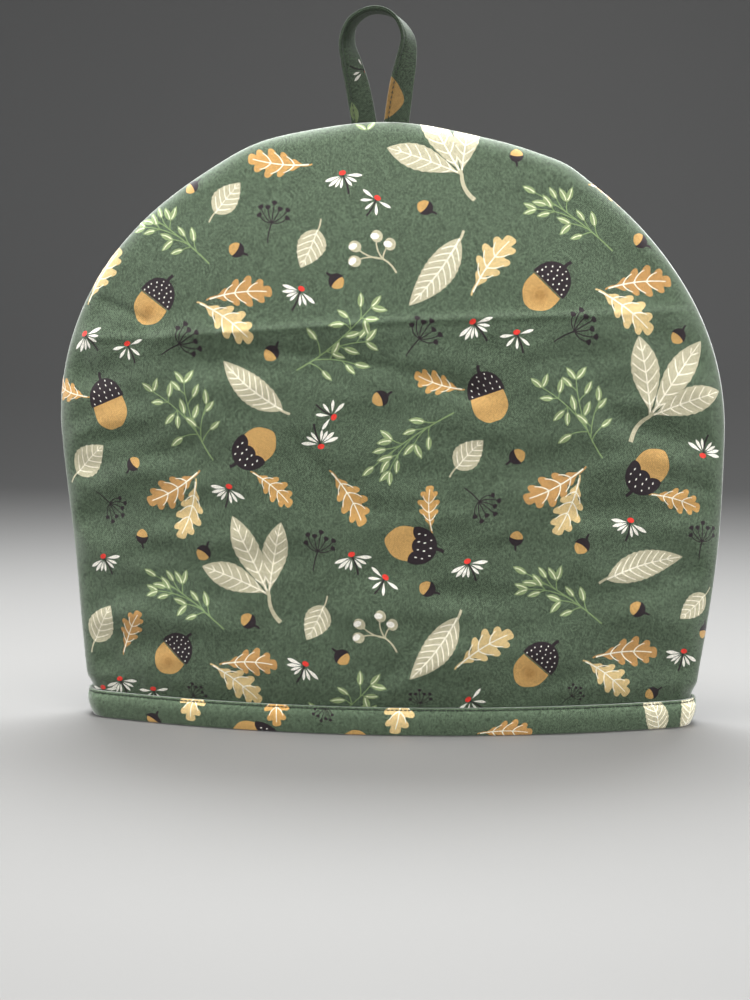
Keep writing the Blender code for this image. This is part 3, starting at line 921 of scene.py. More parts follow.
@dataclass(frozen=True)
class CosyForm:
    """The shape that the panels and the binding share, in metres, as in the part's source."""

    widest_half: float = 0.1663
    widest_height: float = 0.150
    crown_height: float = 0.2995
    hem_half: float = 0.1535
    flank_curve: float = 1.3
    bow: float = 0.029
    hem_puff_share: float = 0.06
    hem_puff_height: float = 0.042
    hem_puff_reach: float = 0.028
    loft: float = 0.009
    lip: float = 0.003
    groove: float = 0.002
    panel_wall: float = 0.007
    hem_wall: float = 0.004
    seam_gap: float = 0.00002
    band_height: float = 0.014
    band_cloth: float = 0.0015
    panel_foot: float = 0.0021
    hem_tuck: float = 0.0018
    tuck_rise: float = 0.009
    pull_rise: float = 0.03
    pulls: tuple[Pull, ...] = (
        Pull(-0.066, 0.291, -0.0008, 0.0018, 0.022),
        Pull(0.04, 0.294, -0.0005, -0.002, 0.028),
        Pull(0.088, 0.278, 0.0009, 0.001, 0.012),
        Pull(0.132, 0.235, -0.0014, -0.001, 0.055),
        Pull(-0.15, 0.21, -0.0014, 0.0008, 0.07),
        Pull(0.166, 0.088, 0.0024, 0.0, 0.05),
        Pull(-0.162, 0.088, 0.0014, 0.0, 0.04),
    )

    def level_half_width(self, z: Array, inset: Array | float = 0.0) -> Array:
        """Half the seam's width: half an ellipse on flanks that taper by a power of the drop.

        Args:
            z: heights.
            inset: how far the outline is drawn in.

        Returns:
            The half width at each height.
        """
        rise = self.crown_height - inset - self.widest_height
        share_up = np.clip((z - self.widest_height) / rise, 0.0, 1.0)
        dome = (self.widest_half - inset) * np.sqrt(1.0 - share_up**2)
        share_down = np.clip((self.widest_height - z) / self.widest_height, 0.0, 1.0)
        taper = (self.widest_half - self.hem_half) * share_down**self.flank_curve
        flank = self.widest_half - inset - taper
        return np.where(z > self.widest_height, dome, flank)

    def wide(self, z: Array, inset: Array | float) -> Array:
        """Half the width that a place across is set against: fixed in the dome."""
        flank = self.level_half_width(z, inset)
        return np.where(z > self.widest_height, self.widest_half - inset, flank)

    def outline_share(self, x: Array, z: Array,
                      inset: Array | float = 0.0) -> Array:
        """How far out places lie: the root of the squared shares across and up the dome.

        Args:
            x, z: places in the front view.
            inset: how far the outline is drawn in.

        Returns:
            0 along the middle of the cosy and 1 on its outline.
        """
        high = self.crown_height - inset - self.widest_height
        above = np.maximum(z - self.widest_height, 0.0) / high
        return np.sqrt((x / self.wide(z, inset)) ** 2 + above**2)

    def edge_distance(self, x: Array, z: Array,
                      inset: Array | float = 0.0) -> Array:
        """Distance in from the outline, exact near it: what the share lacks over its slope.

        Args:
            x, z: places in the front view.
            inset: how far the outline is drawn in.

        Returns:
            The distances, none outside the outline.
        """
        share = np.maximum(self.outline_share(x, z, inset), 1e-6)
        high = self.crown_height - inset - self.widest_height
        above = np.maximum(z - self.widest_height, 0.0)
        slope = np.hypot(x / self.wide(z, inset) ** 2, above / high**2) / share
        return np.maximum(1.0 - share, 0.0) / np.maximum(slope, 1e-6)

    def half_depth(self, x: Array, z: Array, inset: Array | float,
                   lip: Array | float) -> Array:
        """How far a surface stands from the seam plane: a bow plus a rolled edge.

        The bow is its height times one less the outline share squared; the roll is a quarter
        ellipse over the loft's width.

        Args:
            x, z: places in the front view.
            inset: how far the surface is drawn in.
            lip: half the seam groove's width.

        Returns:
            The depths in metres.
        """
        over_puff = (z - self.hem_puff_height) / self.hem_puff_reach
        puff = 1.0 + self.hem_puff_share * np.exp(-(over_puff**2))
        bow = self.bow * puff * np.maximum(1.0 - self.outline_share(x, z, inset) ** 2, 0.0)
        turn = np.clip(self.edge_distance(x, z, inset) / self.loft, 0.0, 1.0)
        return bow + lip + (self.loft - inset - lip) * np.sqrt(1.0 - (1.0 - turn) ** 2)

    def pulled(self, x: Array, z: Array) -> tuple[Array, Array]:
        """Moves points with the pulls of the seam: bell curves that die out towards the binding.

        Args:
            x, z: places in the front view.

        Returns:
            The moved places.
        """
        free = smooth_step((z - self.band_height) / self.pull_rise)
        shift_x, shift_z = np.zeros(np.shape(x)), np.zeros(np.shape(x))
        for pull in self.pulls:
            weight = free * np.exp(-((x - pull.x) ** 2 + (z - pull.z) ** 2) / pull.reach**2)
            shift_x += weight * pull.dx
            shift_z += weight * pull.dz
        return x + shift_x, z + shift_z

    def tuck(self, z: Array) -> Array:
        """How far the panel is drawn in to pass inside the binding."""
        return self.hem_tuck * (1.0 - smooth_step((z - self.band_height) / self.tuck_rise))

    def wall(self, z: Array) -> Array:
        """Thickness of the wadded panel, pressed flat in the hem."""
        rise = smooth_step((z - self.band_height) / (2 * self.tuck_rise))
        return self.hem_wall + (self.panel_wall - self.hem_wall) * rise

    def lip_width(self, z: Array) -> Array:
        """Half the seam groove's width, which closes up inside the binding."""
        return self.lip * smooth_step((z - self.band_height) / self.tuck_rise)

    def groove_inset(self, z: Array) -> Array:
        """How far the bottom of the seam groove lies inside the outline."""
        return self.tuck(z) + self.groove * smooth_step((z - self.band_height) / self.tuck_rise)

    def cavity_inset(self, z: Array) -> Array:
        """How far the hollow lies inside the outline."""
        return self.tuck(z) + self.wall(z)

    def nested(self, share: Array, level: Array,
               inset: Callable[[Array], Array]) -> tuple[Array, Array]:
        """Places on the outline drawn in by inset(z), at a share of the way out.

        A level is a height in metres up to the widest height, and past it the widest height
        plus the angle up the dome in radians.

        Args:
            share: -1 at the left edge to 1 at the right edge.
            level: the levels.
            inset: the drawing in at each height.

        Returns:
            x and z of each place.
        """
        angle = np.clip(level - self.widest_height, 0.0, QUARTER)
        flank_z = np.minimum(level, self.widest_height)
        drawn = inset(flank_z)
        rise = self.crown_height - drawn - self.widest_height
        dome_x = (self.widest_half - drawn) * np.cos(angle)
        dome_z = self.widest_height + rise * np.sin(angle)
        on_dome = level > self.widest_height
        x = share * np.where(on_dome, dome_x, self.level_half_width(flank_z, drawn))
        return x, np.where(on_dome, dome_z, flank_z)


FRONT_FOLDS = (
    Fold((-0.139, 0.189), (-0.031, 0.196), (0.14, 0.202), 0.0018, 0.0075),
    Fold((-0.09, 0.185), (-0.02, 0.179), (0.04, 0.167), -0.002, 0.0085),
    Fold((-0.089, 0.176), (-0.077, 0.15), (-0.06, 0.112), 0.0012, 0.008),
    Fold((-0.038, 0.139), (-0.031, 0.128), (-0.025, 0.119), -0.0008, 0.0065),
    Fold((-0.152, 0.208), (-0.136, 0.203), (-0.118, 0.198), -0.0016, 0.0065),
    Fold((0.1, 0.149), (0.12, 0.142), (0.141, 0.134), 0.001, 0.007),
    Fold((0.124, 0.133), (0.14, 0.126), (0.157, 0.119), -0.0013, 0.0065),
    Fold((-0.122, 0.078), (-0.101, 0.064), (-0.078, 0.05), 0.001, 0.009),
    Fold((0.016, 0.022), (0.03, 0.038), (0.048, 0.052), 0.001, 0.0075),
    Fold((-0.147, 0.04), (-0.139, 0.03), (-0.128, 0.021), -0.0013, 0.006),
    Fold((0.04, 0.262), (0.085, 0.252), (0.125, 0.222), -0.0012, 0.016),
)
SHARP_CREASES = (
    Fold((-0.1495, 0.193), (-0.116, 0.1928), (-0.079, 0.1956), 0.0013, 0.0026),
    Fold((-0.079, 0.1956), (0.009, 0.2014), (0.099, 0.2046), 0.0013, 0.002),
    Fold((0.099, 0.2046), (0.12, 0.206), (0.1507, 0.2075), 0.0009, 0.0024),
    Fold((-0.076, 0.1905), (0.0086, 0.1785), (0.0505, 0.1655), -0.0009, 0.0028),
    Fold((-0.094, 0.1892), (-0.0285, 0.179), (0.043, 0.1606), 0.0008, 0.0036),
    Fold((-0.0872, 0.1834), (-0.0788, 0.1627), (-0.0586, 0.1131), -0.0007, 0.0026),
    Fold((-0.0441, 0.1457), (-0.0341, 0.1346), (-0.021, 0.1199), -0.0006, 0.003),
    Fold((-0.146, 0.2135), (-0.1311, 0.2077), (-0.118, 0.2013), -0.0012, 0.0028),
    Fold((-0.15, 0.2075), (-0.136, 0.203), (-0.12, 0.1965), 0.0007, 0.0035),
)
RIPPLES = (
    Fold((0.1213, 0.1532), (0.1381, 0.1455), (0.1591, 0.1403), -0.0011, 0.004),
    Fold((0.1157, 0.1616), (0.1344, 0.1569), (0.1573, 0.1522), 0.001, 0.0045),
    Fold((0.1341, 0.1174), (0.1455, 0.1209), (0.1601, 0.1186), -0.001, 0.004),
    Fold((0.1009, 0.1291), (0.1232, 0.1344), (0.1532, 0.1321), 0.0008, 0.005),
    Fold((-0.158, 0.1047), (-0.1314, 0.1085), (-0.0982, 0.1051), -0.001, 0.005),
    Fold((-0.0134, 0.1125), (0.0088, 0.1109), (0.0383, 0.1132), -0.0008, 0.005),
    Fold((0.0899, 0.1106), (0.123, 0.1123), (0.1567, 0.1093), -0.001, 0.005),
    Fold((0.0974, 0.0993), (0.1267, 0.1006), (0.1567, 0.1047), 0.0008, 0.005),
    Fold((0.0238, 0.0714), (0.0645, 0.0698), (0.1274, 0.0702), -0.001, 0.005),
    Fold((-0.0172, 0.0583), (0.0164, 0.0617), (0.0646, 0.0604), 0.001, 0.0055),
    Fold((-0.1526, 0.0431), (-0.1155, 0.0441), (-0.0631, 0.0447), -0.0011, 0.005),
    Fold((-0.1524, 0.0536), (-0.1239, 0.0557), (-0.0746, 0.0535), 0.0008, 0.005),
    Fold((-0.132, 0.0942), (-0.0667, 0.0947), (-0.0023, 0.1015), 0.0006, 0.006),
    Fold((-0.0022, 0.0244), (0.0091, 0.038), (0.022, 0.0483), -0.001, 0.0035),
    Fold((0.0015, 0.0198), (0.0165, 0.0306), (0.0425, 0.0439), 0.001, 0.0035),
    Fold((0.065, 0.0196), (0.0836, 0.027), (0.1062, 0.0297), -0.001, 0.004),
    Fold((-0.1518, 0.1295), (-0.126, 0.134), (-0.0934, 0.1393), -0.001, 0.0045),
    Fold((-0.1573, 0.1455), (-0.1378, 0.1497), (-0.1171, 0.152), 0.001, 0.0045),
    Fold((-0.1568, 0.1204), (-0.1438, 0.1189), (-0.1226, 0.1158), 0.0008, 0.004),
    Fold((0.044, 0.096), (0.0642, 0.1004), (0.0937, 0.1031), 0.0006, 0.005),
    Fold((0.1013, 0.0804), (0.1308, 0.0766), (0.1579, 0.0699), 0.0008, 0.0045),
)
BACK_FOLDS = (
    Fold((-0.13, 0.197), (0.0, 0.2), (0.132, 0.195), 0.0014, 0.009),
    Fold((-0.095, 0.11), (-0.07, 0.09), (-0.055, 0.06), -0.001, 0.012),
    Fold((0.06, 0.135), (0.085, 0.12), (0.112, 0.112), 0.001, 0.012),
)


def fold_gap(x: Array, z: Array, fold: Fold) -> Array:
    """The distance to a crease's bent line, as the nearer of its two straight runs.

    Args:
        x, z: places in the front view.
        fold: the crease.

    Returns:
        The distances in metres.
    """
    nearest = np.full(np.shape(x), 1.0)
    for near, far in ((fold.start, fold.bend), (fold.bend, fold.end)):
        run = np.subtract(far, near)
        along = np.clip(((x - near[0]) * run[0] + (z - near[1]) * run[1]) / (run @ run), 0.0, 1.0)
        gap = np.hypot(x - near[0] - along * run[0], z - near[1] - along * run[1])
        nearest = np.minimum(nearest, gap)
    return nearest


def fold_height(x: Array, z: Array, folds: tuple[Fold, ...]) -> Array:
    """Sums the creases: each is its rise times a bell curve of the distance to its bent line.

    Args:
        x, z: places in the front view.
        folds: the creases.

    Returns:
        The height that they add to the cloth.
    """
    total = np.zeros(np.shape(x))
    for fold in folds:
        total += fold.rise * np.exp(-((fold_gap(x, z, fold) / fold.width) ** 2))
    return total


@dataclass
class Panel:
    """One wadded dome panel of printed cloth, made as a closed shell.

    Sizes of the form are in metres and those of the flat cloth's points in mm.
    """

    form: CosyForm
    name: str
    node: str
    side: float
    folds: tuple[Fold, ...]
    cloth: ClothPrint
    seed: int
    pitch: float = 2.1
    rim_pitch: float = 1.2
    rim_width: float = 16.0
    fill: float = 0.3
    creases: tuple[Fold, ...] = ()
    crease_levels: tuple[float, float] = (110.0, 250.0)
    crease_pitch: float = 0.9
    crease_reach: float = 1.3
    edge_clear: float = 0.5
    lining_pitch: float = 5.0
    lining_clear: float = 4.0
    lining_foot: float = 2.0
    facing_step: float = 0.12
    relief_start: float = 0.02
    relief_edge: float = 0.012
    table_steps: int = 240
    flank_steps: int = 140
    swells: tuple[tuple[float, float], ...] = (
        (0.055, 0.00034), (0.036, 0.00031), (0.024, 0.00022), (0.015, 0.00012),
    )
    smooth_height: float = 0.185
    gathers: tuple[float, ...] = (0.0051, 0.0083, 0.0135)
    gather_height: float = 0.00013

    def __post_init__(self) -> None:
        """Works out the cloth's lengths: up the middle, and across at each level."""
        form = self.form
        flank = np.linspace(form.panel_foot, form.widest_height, self.flank_steps)
        quarter = np.linspace(0.0, QUARTER, self.table_steps + 1)
        self.levels = np.concatenate([flank, form.widest_height + quarter[1:]])
        shares = np.sin(quarter)
        share, level = np.meshgrid(shares, self.levels)
        x, z = form.nested(share, level, form.tuck)
        depth = form.half_depth(x, z, form.tuck(z), form.lip_width(z))
        grid = columns(x, depth, z)
        steps = np.linalg.norm(np.diff(grid, axis=1), axis=-1)
        across = np.pad(np.cumsum(steps, axis=1), ((0, 0), (1, 0)))
        rise = np.linalg.norm(np.diff(grid[:, 0], axis=0), axis=-1)
        self.heights = form.panel_foot + np.pad(np.cumsum(rise), (1, 0))
        self.half_widths = across[:, -1]
        part = np.linspace(0.0, 1.0, self.table_steps + 1)
        reach = np.maximum(self.half_widths, 1e-6)[:, None]
        self.share_table = np.stack([np.interp(part, row, shares) for row in across / reach])

    def on_form(self, flat: Array) -> tuple[Array, Array]:
        """Turns flat places into the share of the way out and the level.

        Args:
            flat: places on the flat cloth in mm.

        Returns:
            The shares and the levels.
        """
        place = np.interp(flat[:, 1] * MM, self.heights, np.arange(len(self.levels)))
        low = np.minimum(place.astype(int), len(self.levels) - 2)
        rest = place - low
        level = self.levels[low] + rest * (self.levels[low + 1] - self.levels[low])
        half = self.half_widths[low] + rest * (self.half_widths[low + 1] - self.half_widths[low])
        part = np.clip(np.abs(flat[:, 0]) * MM / np.maximum(half, 1e-6), 0.0, 1.0)
        part = part * self.table_steps
        step = np.minimum(part.astype(int), self.table_steps - 1)
        over = part - step
        table = self.share_table
        lower = table[low, step] * (1.0 - over) + table[low, step + 1] * over
        upper = table[low + 1, step] * (1.0 - over) + table[low + 1, step + 1] * over
        return np.sign(flat[:, 0]) * (lower * (1.0 - rest) + upper * rest), level

    def unevenness(self, x: Array, z: Array) -> Array:
        """Small swells of the wadding: sine waves that run mostly level and fade out upwards.

        Args:
            x, z: places in the front view.

        Returns:
            The height that they add to the cloth.
        """
        random = np.random.default_rng(self.seed)
        total = np.zeros(np.shape(x))
        for length, height in self.swells:
            for _ in range(3):
                way = QUARTER + random.uniform(-0.5, 0.5)
                start = random.uniform(0.0, TURN)
                sway = 0.9 * np.sin(TURN * x / random.uniform(0.07, 0.13) + start)
                wave = TURN * (x * math.cos(way) + z * math.sin(way)) / length
                total += height * np.sin(wave + start + sway)
        total *= 0.55 + 0.55 * smooth_step(np.abs(x) / 0.12)
        return total * (1.0 - 0.8 * smooth_step((z - self.smooth_height) / 0.03))

    def hem_puckers(self, x: Array, z: Array) -> Array:
        """Little gathers above the binding: sines across that die out upwards.

        Args:
            x, z: places in the front view.

        Returns:
            The height that they add to the cloth.
        """
        random = np.random.default_rng(self.seed + 7)
        total = np.zeros(np.shape(x))
        for length in self.gathers:
            start = random.uniform(0.0, TURN)
            lean = 0.6 * np.sin(TURN * x / 0.071 + start)
            wave = np.sin(TURN * x / length + start + 3.0 * lean)
            total += wave * self.gather_height
        above = z - self.form.band_height
        fade = np.exp(-((np.maximum(above, 0.0) / 0.010) ** 1.5))
        return total * fade * smooth_step((above + 0.001) / 0.003)

    def outside(self, flat: Array) -> Array:
        """Shapes flat cloth into the panel's outside.

        Args:
            flat: places on the flat cloth in mm.

        Returns:
            Points in metres.
        """
        form = self.form
        share, level = self.on_form(flat)
        x, z = form.nested(share, level, form.tuck)
        x = x * self.side
        depth = form.half_depth(x, z, form.tuck(z), form.lip_width(z))
        relief = fold_height(x, z, self.folds) + self.hem_puckers(x, z)
        start = smooth_step((z - form.band_height) / self.relief_start)
        relief += self.unevenness(x, z) * start
        depth += relief * smooth_step(form.edge_distance(x, z) / self.relief_edge)
        return self.stood(x, depth, z)

    def stood(self, x: Array, depth: Array, z: Array) -> Array:
        """Stands places of the front view off the seam plane, after the seam's pulls.

        Args:
            x, z: places in the front view.
            depth: how far each stands from the seam plane, at least half the seam's gap.

        Returns:
            Points in metres.
        """
        depth = np.maximum(depth, 0.5 * self.form.seam_gap)
        x, z = self.form.pulled(x, z)
        return columns(x, -self.side * depth, z)

    def directions(self, flat: Array) -> Array:
        """The outside's facing, from the cross product of small steps across and up.

        Args:
            flat: places on the flat cloth in mm.

        Returns:
            Unit vectors that point outwards.
        """
        step = self.facing_step
        right = self.outside(flat + [step, 0.0]) - self.outside(flat - [step, 0.0])
        above = self.outside(flat + [0.0, step]) - self.outside(flat - [0.0, step])
        return unit(np.cross(right, above))

    def seam_side(self, flat: Array, inset: Callable[[Array], Array],
                  on_side: Array) -> Array:
        """The edge drawn in by inset: on the seam plane at the sides, level at the foot.

        Args:
            flat: places of the flat cloth's edge in mm.
            inset: the drawing in at each height.
            on_side: which places lie at the sides.

        Returns:
            Points in metres.
        """
        form = self.form
        share, level = self.on_form(flat)
        x, z = form.nested(share, level, inset)
        x = x * self.side
        depth = np.where(on_side, 0.0, form.half_depth(x, z, inset(z), 0.0))
        return self.stood(x, depth, z)

    def inside(self, flat: Array) -> Array:
        """The hollow's surface under each flat place.

        Args:
            flat: places on the flat cloth in mm.

        Returns:
            Points in metres.
        """
        form = self.form
        share, level = self.on_form(flat)
        x, z = form.nested(share, level, form.cavity_inset)
        x = x * self.side
        return self.stood(x, form.half_depth(x, z, form.cavity_inset(z), 0.0), z)

    def border(self) -> Array:
        """The flat cloth's edge: along the foot, up the right, down the left.

        Returns:
            The edge in mm, anticlockwise.
        """
        foot_half = self.half_widths[0] / MM
        foot = np.linspace(-foot_half, foot_half, 150)[:-1]
        foot_row = columns(foot, np.full(len(foot), self.heights[0] / MM))
        sides = columns(self.half_widths, self.heights) / MM
        right = sides[:-1]
        left = (sides[::-1] * [-1.0, 1.0])[:-1]
        crown = np.array([[0.0, self.heights[-1] / MM]])
        return np.vstack([foot_row, right, crown, left[1:]])

    def inner_points(self) -> Array:
        """Loose points: evenly spaced, closer along the rolled edge and the pressed creases.

        Returns:
            The points on the flat cloth in mm.
        """
        reach = self.half_widths.max() / MM
        foot, top = self.heights[[0, -1]] / MM
        middle = hex_points((-reach, foot), (reach, top), self.pitch)
        edge = hex_points((-reach, foot), (reach, top), self.rim_pitch)
        keep_middle = self.rim_gap(middle) > self.rim_width
        gap = self.rim_gap(edge)
        keep_edge = (gap <= self.rim_width) & (gap > self.edge_clear)
        low, high = self.crease_levels
        fine = hex_points((-reach, low), (reach, high), self.crease_pitch)
        fine = fine[self.rim_gap(fine) > self.rim_width]
        share, level = self.on_form(fine)
        x, z = self.form.nested(share, level, self.form.tuck)
        near = np.full(len(fine), False)
        for crease in self.creases:
            near |= fold_gap(x, z, crease) < self.crease_reach * crease.width
        return np.vstack([middle[keep_middle], edge[keep_edge], fine[near]])

    def rim_gap(self, flat: Array) -> Array:
        """Distance in from the edge of the cloth.

        Args:
            flat: places on the flat cloth in mm.

        Returns:
            The distances in mm, less than zero outside the cloth.
        """
        share, level = self.on_form(np.clip(flat, None, [1e9, self.heights[-1] / MM]))
        x, z = self.form.nested(np.clip(share, -0.99999, 0.99999), level, self.form.tuck)
        half = np.interp(flat[:, 1] * MM, self.heights, self.half_widths)
        outside = np.abs(flat[:, 0]) * MM > half
        return np.where(outside, -1.0, self.form.edge_distance(x, z) / MM)

    def build(self, material: bpy.types.Material) -> bpy.types.Object:
        """Cuts the printed cloth, shapes it and closes the panel with its inside and seam margin.

        Args:
            material: the panel's finish.

        Returns:
            The finished piece.
        """
        border = self.border()
        cut = CutCloth.cut(border, self.inner_points(), self.cloth.shapes())
        shell = Shell()
        facing = self.directions(cut.flat)
        shell.add(self.outside(cut.flat), cut.triangles, cut.flat, cut.inks, facing)
        sides = [cut.triangles[:, ends] for ends in ([0, 1], [1, 2], [2, 0])]
        pairs, times = np.unique(np.sort(np.vstack(sides), axis=1), axis=0, return_counts=True)
        rim = np.unique(pairs[times == 1])
        centre = np.array([0.0, 0.5 * self.heights[-1] / MM])
        spoke = cut.flat[rim] - centre
        loop = cut.flat[rim[np.argsort(np.arctan2(spoke[:, 1], spoke[:, 0]))]]
        on_side = loop[:, 1] > self.heights[0] / MM + 1e-6
        rings = [self.outside(loop), self.seam_side(loop, self.form.groove_inset, on_side),
                 self.seam_side(loop, self.form.cavity_inset, on_side)]
        count = len(loop)
        index = np.arange(count)
        ahead = np.roll(index, -1)
        for near, far in ((0, 1), (1, 2)):
            points = np.vstack([rings[near], rings[far]])
            quads = np.vstack([
                columns(index, index + count, ahead + count),
                columns(index, ahead + count, ahead),
            ])
            shell.add(points, quads, np.vstack([loop, loop]), np.zeros(len(quads), int))
        reach = self.half_widths.max() / MM
        foot, top = self.heights[[0, -1]] / MM
        coarse = hex_points((-reach, 0.0), (reach, top), self.lining_pitch)
        clear = self.rim_gap(coarse) > self.lining_clear
        coarse = coarse[clear & (coarse[:, 1] > foot + self.lining_foot)]
        lining = CutCloth.cut(loop, coarse, [])
        shell.add(self.inside(lining.flat), lining.triangles[:, ::-1], lining.flat, lining.inks)
        made = shell.piece(self.name, material)
        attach(made, "root")
        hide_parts(self.node)
        return made


class Surface(Enum):
    """Which cloth a finish is for."""

    FRONT = "front_cloth"
    BACK = "back_cloth"
    BINDING = "binding_cloth"
    LOOP = "loop_cloth"


@dataclass
class HemBinding:
    """The strip folded round the hem of both panels."""

    form: CosyForm
    cloth: ClothPrint
    depth: float = 0.0076
    inner_face: float = 0.0061
    floor: float = 0.0018
    roll: float = 0.0006
    corner: float = 0.0009
    stitch_drop: float = 0.0012
    pucker_pitch: float = 0.0019
    pucker_heights: tuple[float, float] = (0.00016, 0.00018)
    face_wrap: float = 15.0
    face_pitch: float = 0.75
    wrap_pitch: float = 1.6

    def section(self) -> tuple[Array, Array, Array]:
        """The folded strip cut across, with quarter circles where it turns under and up.

        The outer face swells as a sine from its top edge to the stitch line and on to the fold.

        Returns:
            Distance along the cloth in mm, inset and height, from the outer top edge round.
        """
        form = self.form
        top = form.band_height
        stitch = top - self.stitch_drop
        lower = np.linspace(stitch, self.corner, 14)[1:]
        outer_z = np.concatenate([np.linspace(top, stitch, 7), lower])
        over = np.clip((top - outer_z) / self.stitch_drop, 0.0, 1.0)
        under = np.clip((stitch - outer_z) / (stitch - self.corner), 0.0, 1.0)
        lip = 0.8 * np.sin(math.pi * over) ** 0.7
        belly = 2.5 * np.sin(math.pi * under**0.7) ** 0.85
        swell = np.where(outer_z >= stitch, lip, belly)
        outer = columns(-self.roll * swell, outer_z)
        quarter = np.linspace(0.0, QUARTER, 5)
        off_cos, off_sin = self.corner * (1 - np.cos(quarter)), self.corner * (1 - np.sin(quarter))
        turn_in = columns(off_cos[1:], off_sin[1:])
        under_side = np.array([[0.5 * self.depth, 0.0]])
        turn_up = columns(self.depth - off_sin[:-1], off_cos[:-1])
        back = columns(np.full(5, self.depth), np.linspace(self.corner, top, 5))
        rest = np.array([
            [self.inner_face, top], [self.inner_face, self.floor], [form.band_cloth, self.floor],
            [form.band_cloth, top], [0.0, top],
        ])
        points = np.vstack([outer, turn_in, under_side, turn_up, back, rest])
        return run_length(points) / MM, points[:, 0], points[:, 1]

    def line(self, turn: Array, inset: Array, z: Array) -> tuple[Array, Array]:
        """The way round the hem: x is the half width times the turn's cosine.

        Args:
            turn: the turns round the hem in radians, from the right-hand seam.
            inset: how far each point is drawn in.
            z: the height of each.

        Returns:
            x and y of each point.
        """
        x = self.form.level_half_width(z, inset) * np.cos(turn)
        depth = self.form.half_depth(x, z, inset, 0.0)
        sine = np.sin(turn)
        return x, np.where(np.abs(sine) < 1e-9, 0.0, -np.sign(sine) * depth)

    def round_hem(self) -> tuple[Array, Array]:
        """The length along the hem's outer line against the turn round it.

        Returns:
            Lengths in mm and turns in radians.
        """
        turn = np.linspace(0.0, TURN, 1441)
        flat = np.zeros(len(turn))
        x, y = self.line(turn, flat, flat + 0.006)
        run = np.hypot(np.diff(x), np.diff(y))
        return np.pad(np.cumsum(run), (1, 0)) / MM, turn

    def shaped(self, flat: Array) -> Array:
        """Carries the section round the hem, with small gathers at the stitch line.

        Args:
            flat: mm along the hem from the right-hand seam, and mm along the section.

        Returns:
            Points in metres.
        """
        length, inset, height = self.section()
        along, turns = self.round_hem()
        turn = np.interp(flat[:, 0], along, turns)
        turn = np.where(flat[:, 0] >= along[-1] - 1e-6, 0.0, turn)
        drawn = np.interp(flat[:, 1], length, inset)
        z = np.interp(flat[:, 1], length, height)
        below = np.clip(flat[:, 1] - self.stitch_drop / MM, 0.0, None)
        on_face = (flat[:, 1] < (self.form.band_height - self.corner) / MM).astype(float)
        count = round(along[-1] * MM / self.pucker_pitch)
        wave = np.sin(TURN * count * flat[:, 0] / along[-1])
        slow = np.sin(TURN * round(count * 0.37) * flat[:, 0] / along[-1] + 1.3)
        fade = np.exp(-((below - 0.9) / 2.0) ** 2) * smooth_step(below / 0.6)
        close, wide = self.pucker_heights
        drawn = drawn - on_face * fade * (close * wave + wide * slow)
        x, y = self.line(turn, drawn, z)
        return columns(x, y, z)

    def stitch_line(self) -> tuple[Array, Array]:
        """The hem's topstitching, along the groove below the top edge.

        Returns:
            Close points round the hem, and the way out of the cloth at each.
        """
        along = np.linspace(0.0, self.round_hem()[0][-1], 6001)
        drop = np.full(len(along), self.stitch_drop / MM)
        line = self.shaped(columns(along, drop))
        run = np.gradient(line, axis=0)
        return line, unit(np.cross(run, np.array([0.0, 0.0, -1.0])))

    def build(self, material: bpy.types.Material) -> bpy.types.Object:
        """Cuts the printed strip and folds it round the hem.

        Args:
            material: the strip's finish.

        Returns:
            The finished piece.
        """
        round_length = self.round_hem()[0][-1]
        wrap = self.section()[0][-1]
        border = strip_border(round_length, wrap, 480, 36)
        end = round_length - 0.4
        face = hex_points((0.5, 0.4), (end, self.face_wrap), self.face_pitch)
        rest = hex_points((0.5, self.face_wrap + 0.4), (end, wrap - 0.3), self.wrap_pitch)
        cut = CutCloth.cut(border, np.vstack([face, rest]), self.cloth.shapes())
        shell = Shell()
        shell.add(self.shaped(cut.flat), cut.triangles, cut.flat, cut.inks)
        made = shell.piece("hem_binding_cloth", material)
        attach(made, "root")
        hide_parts("hem_binding")
        return made


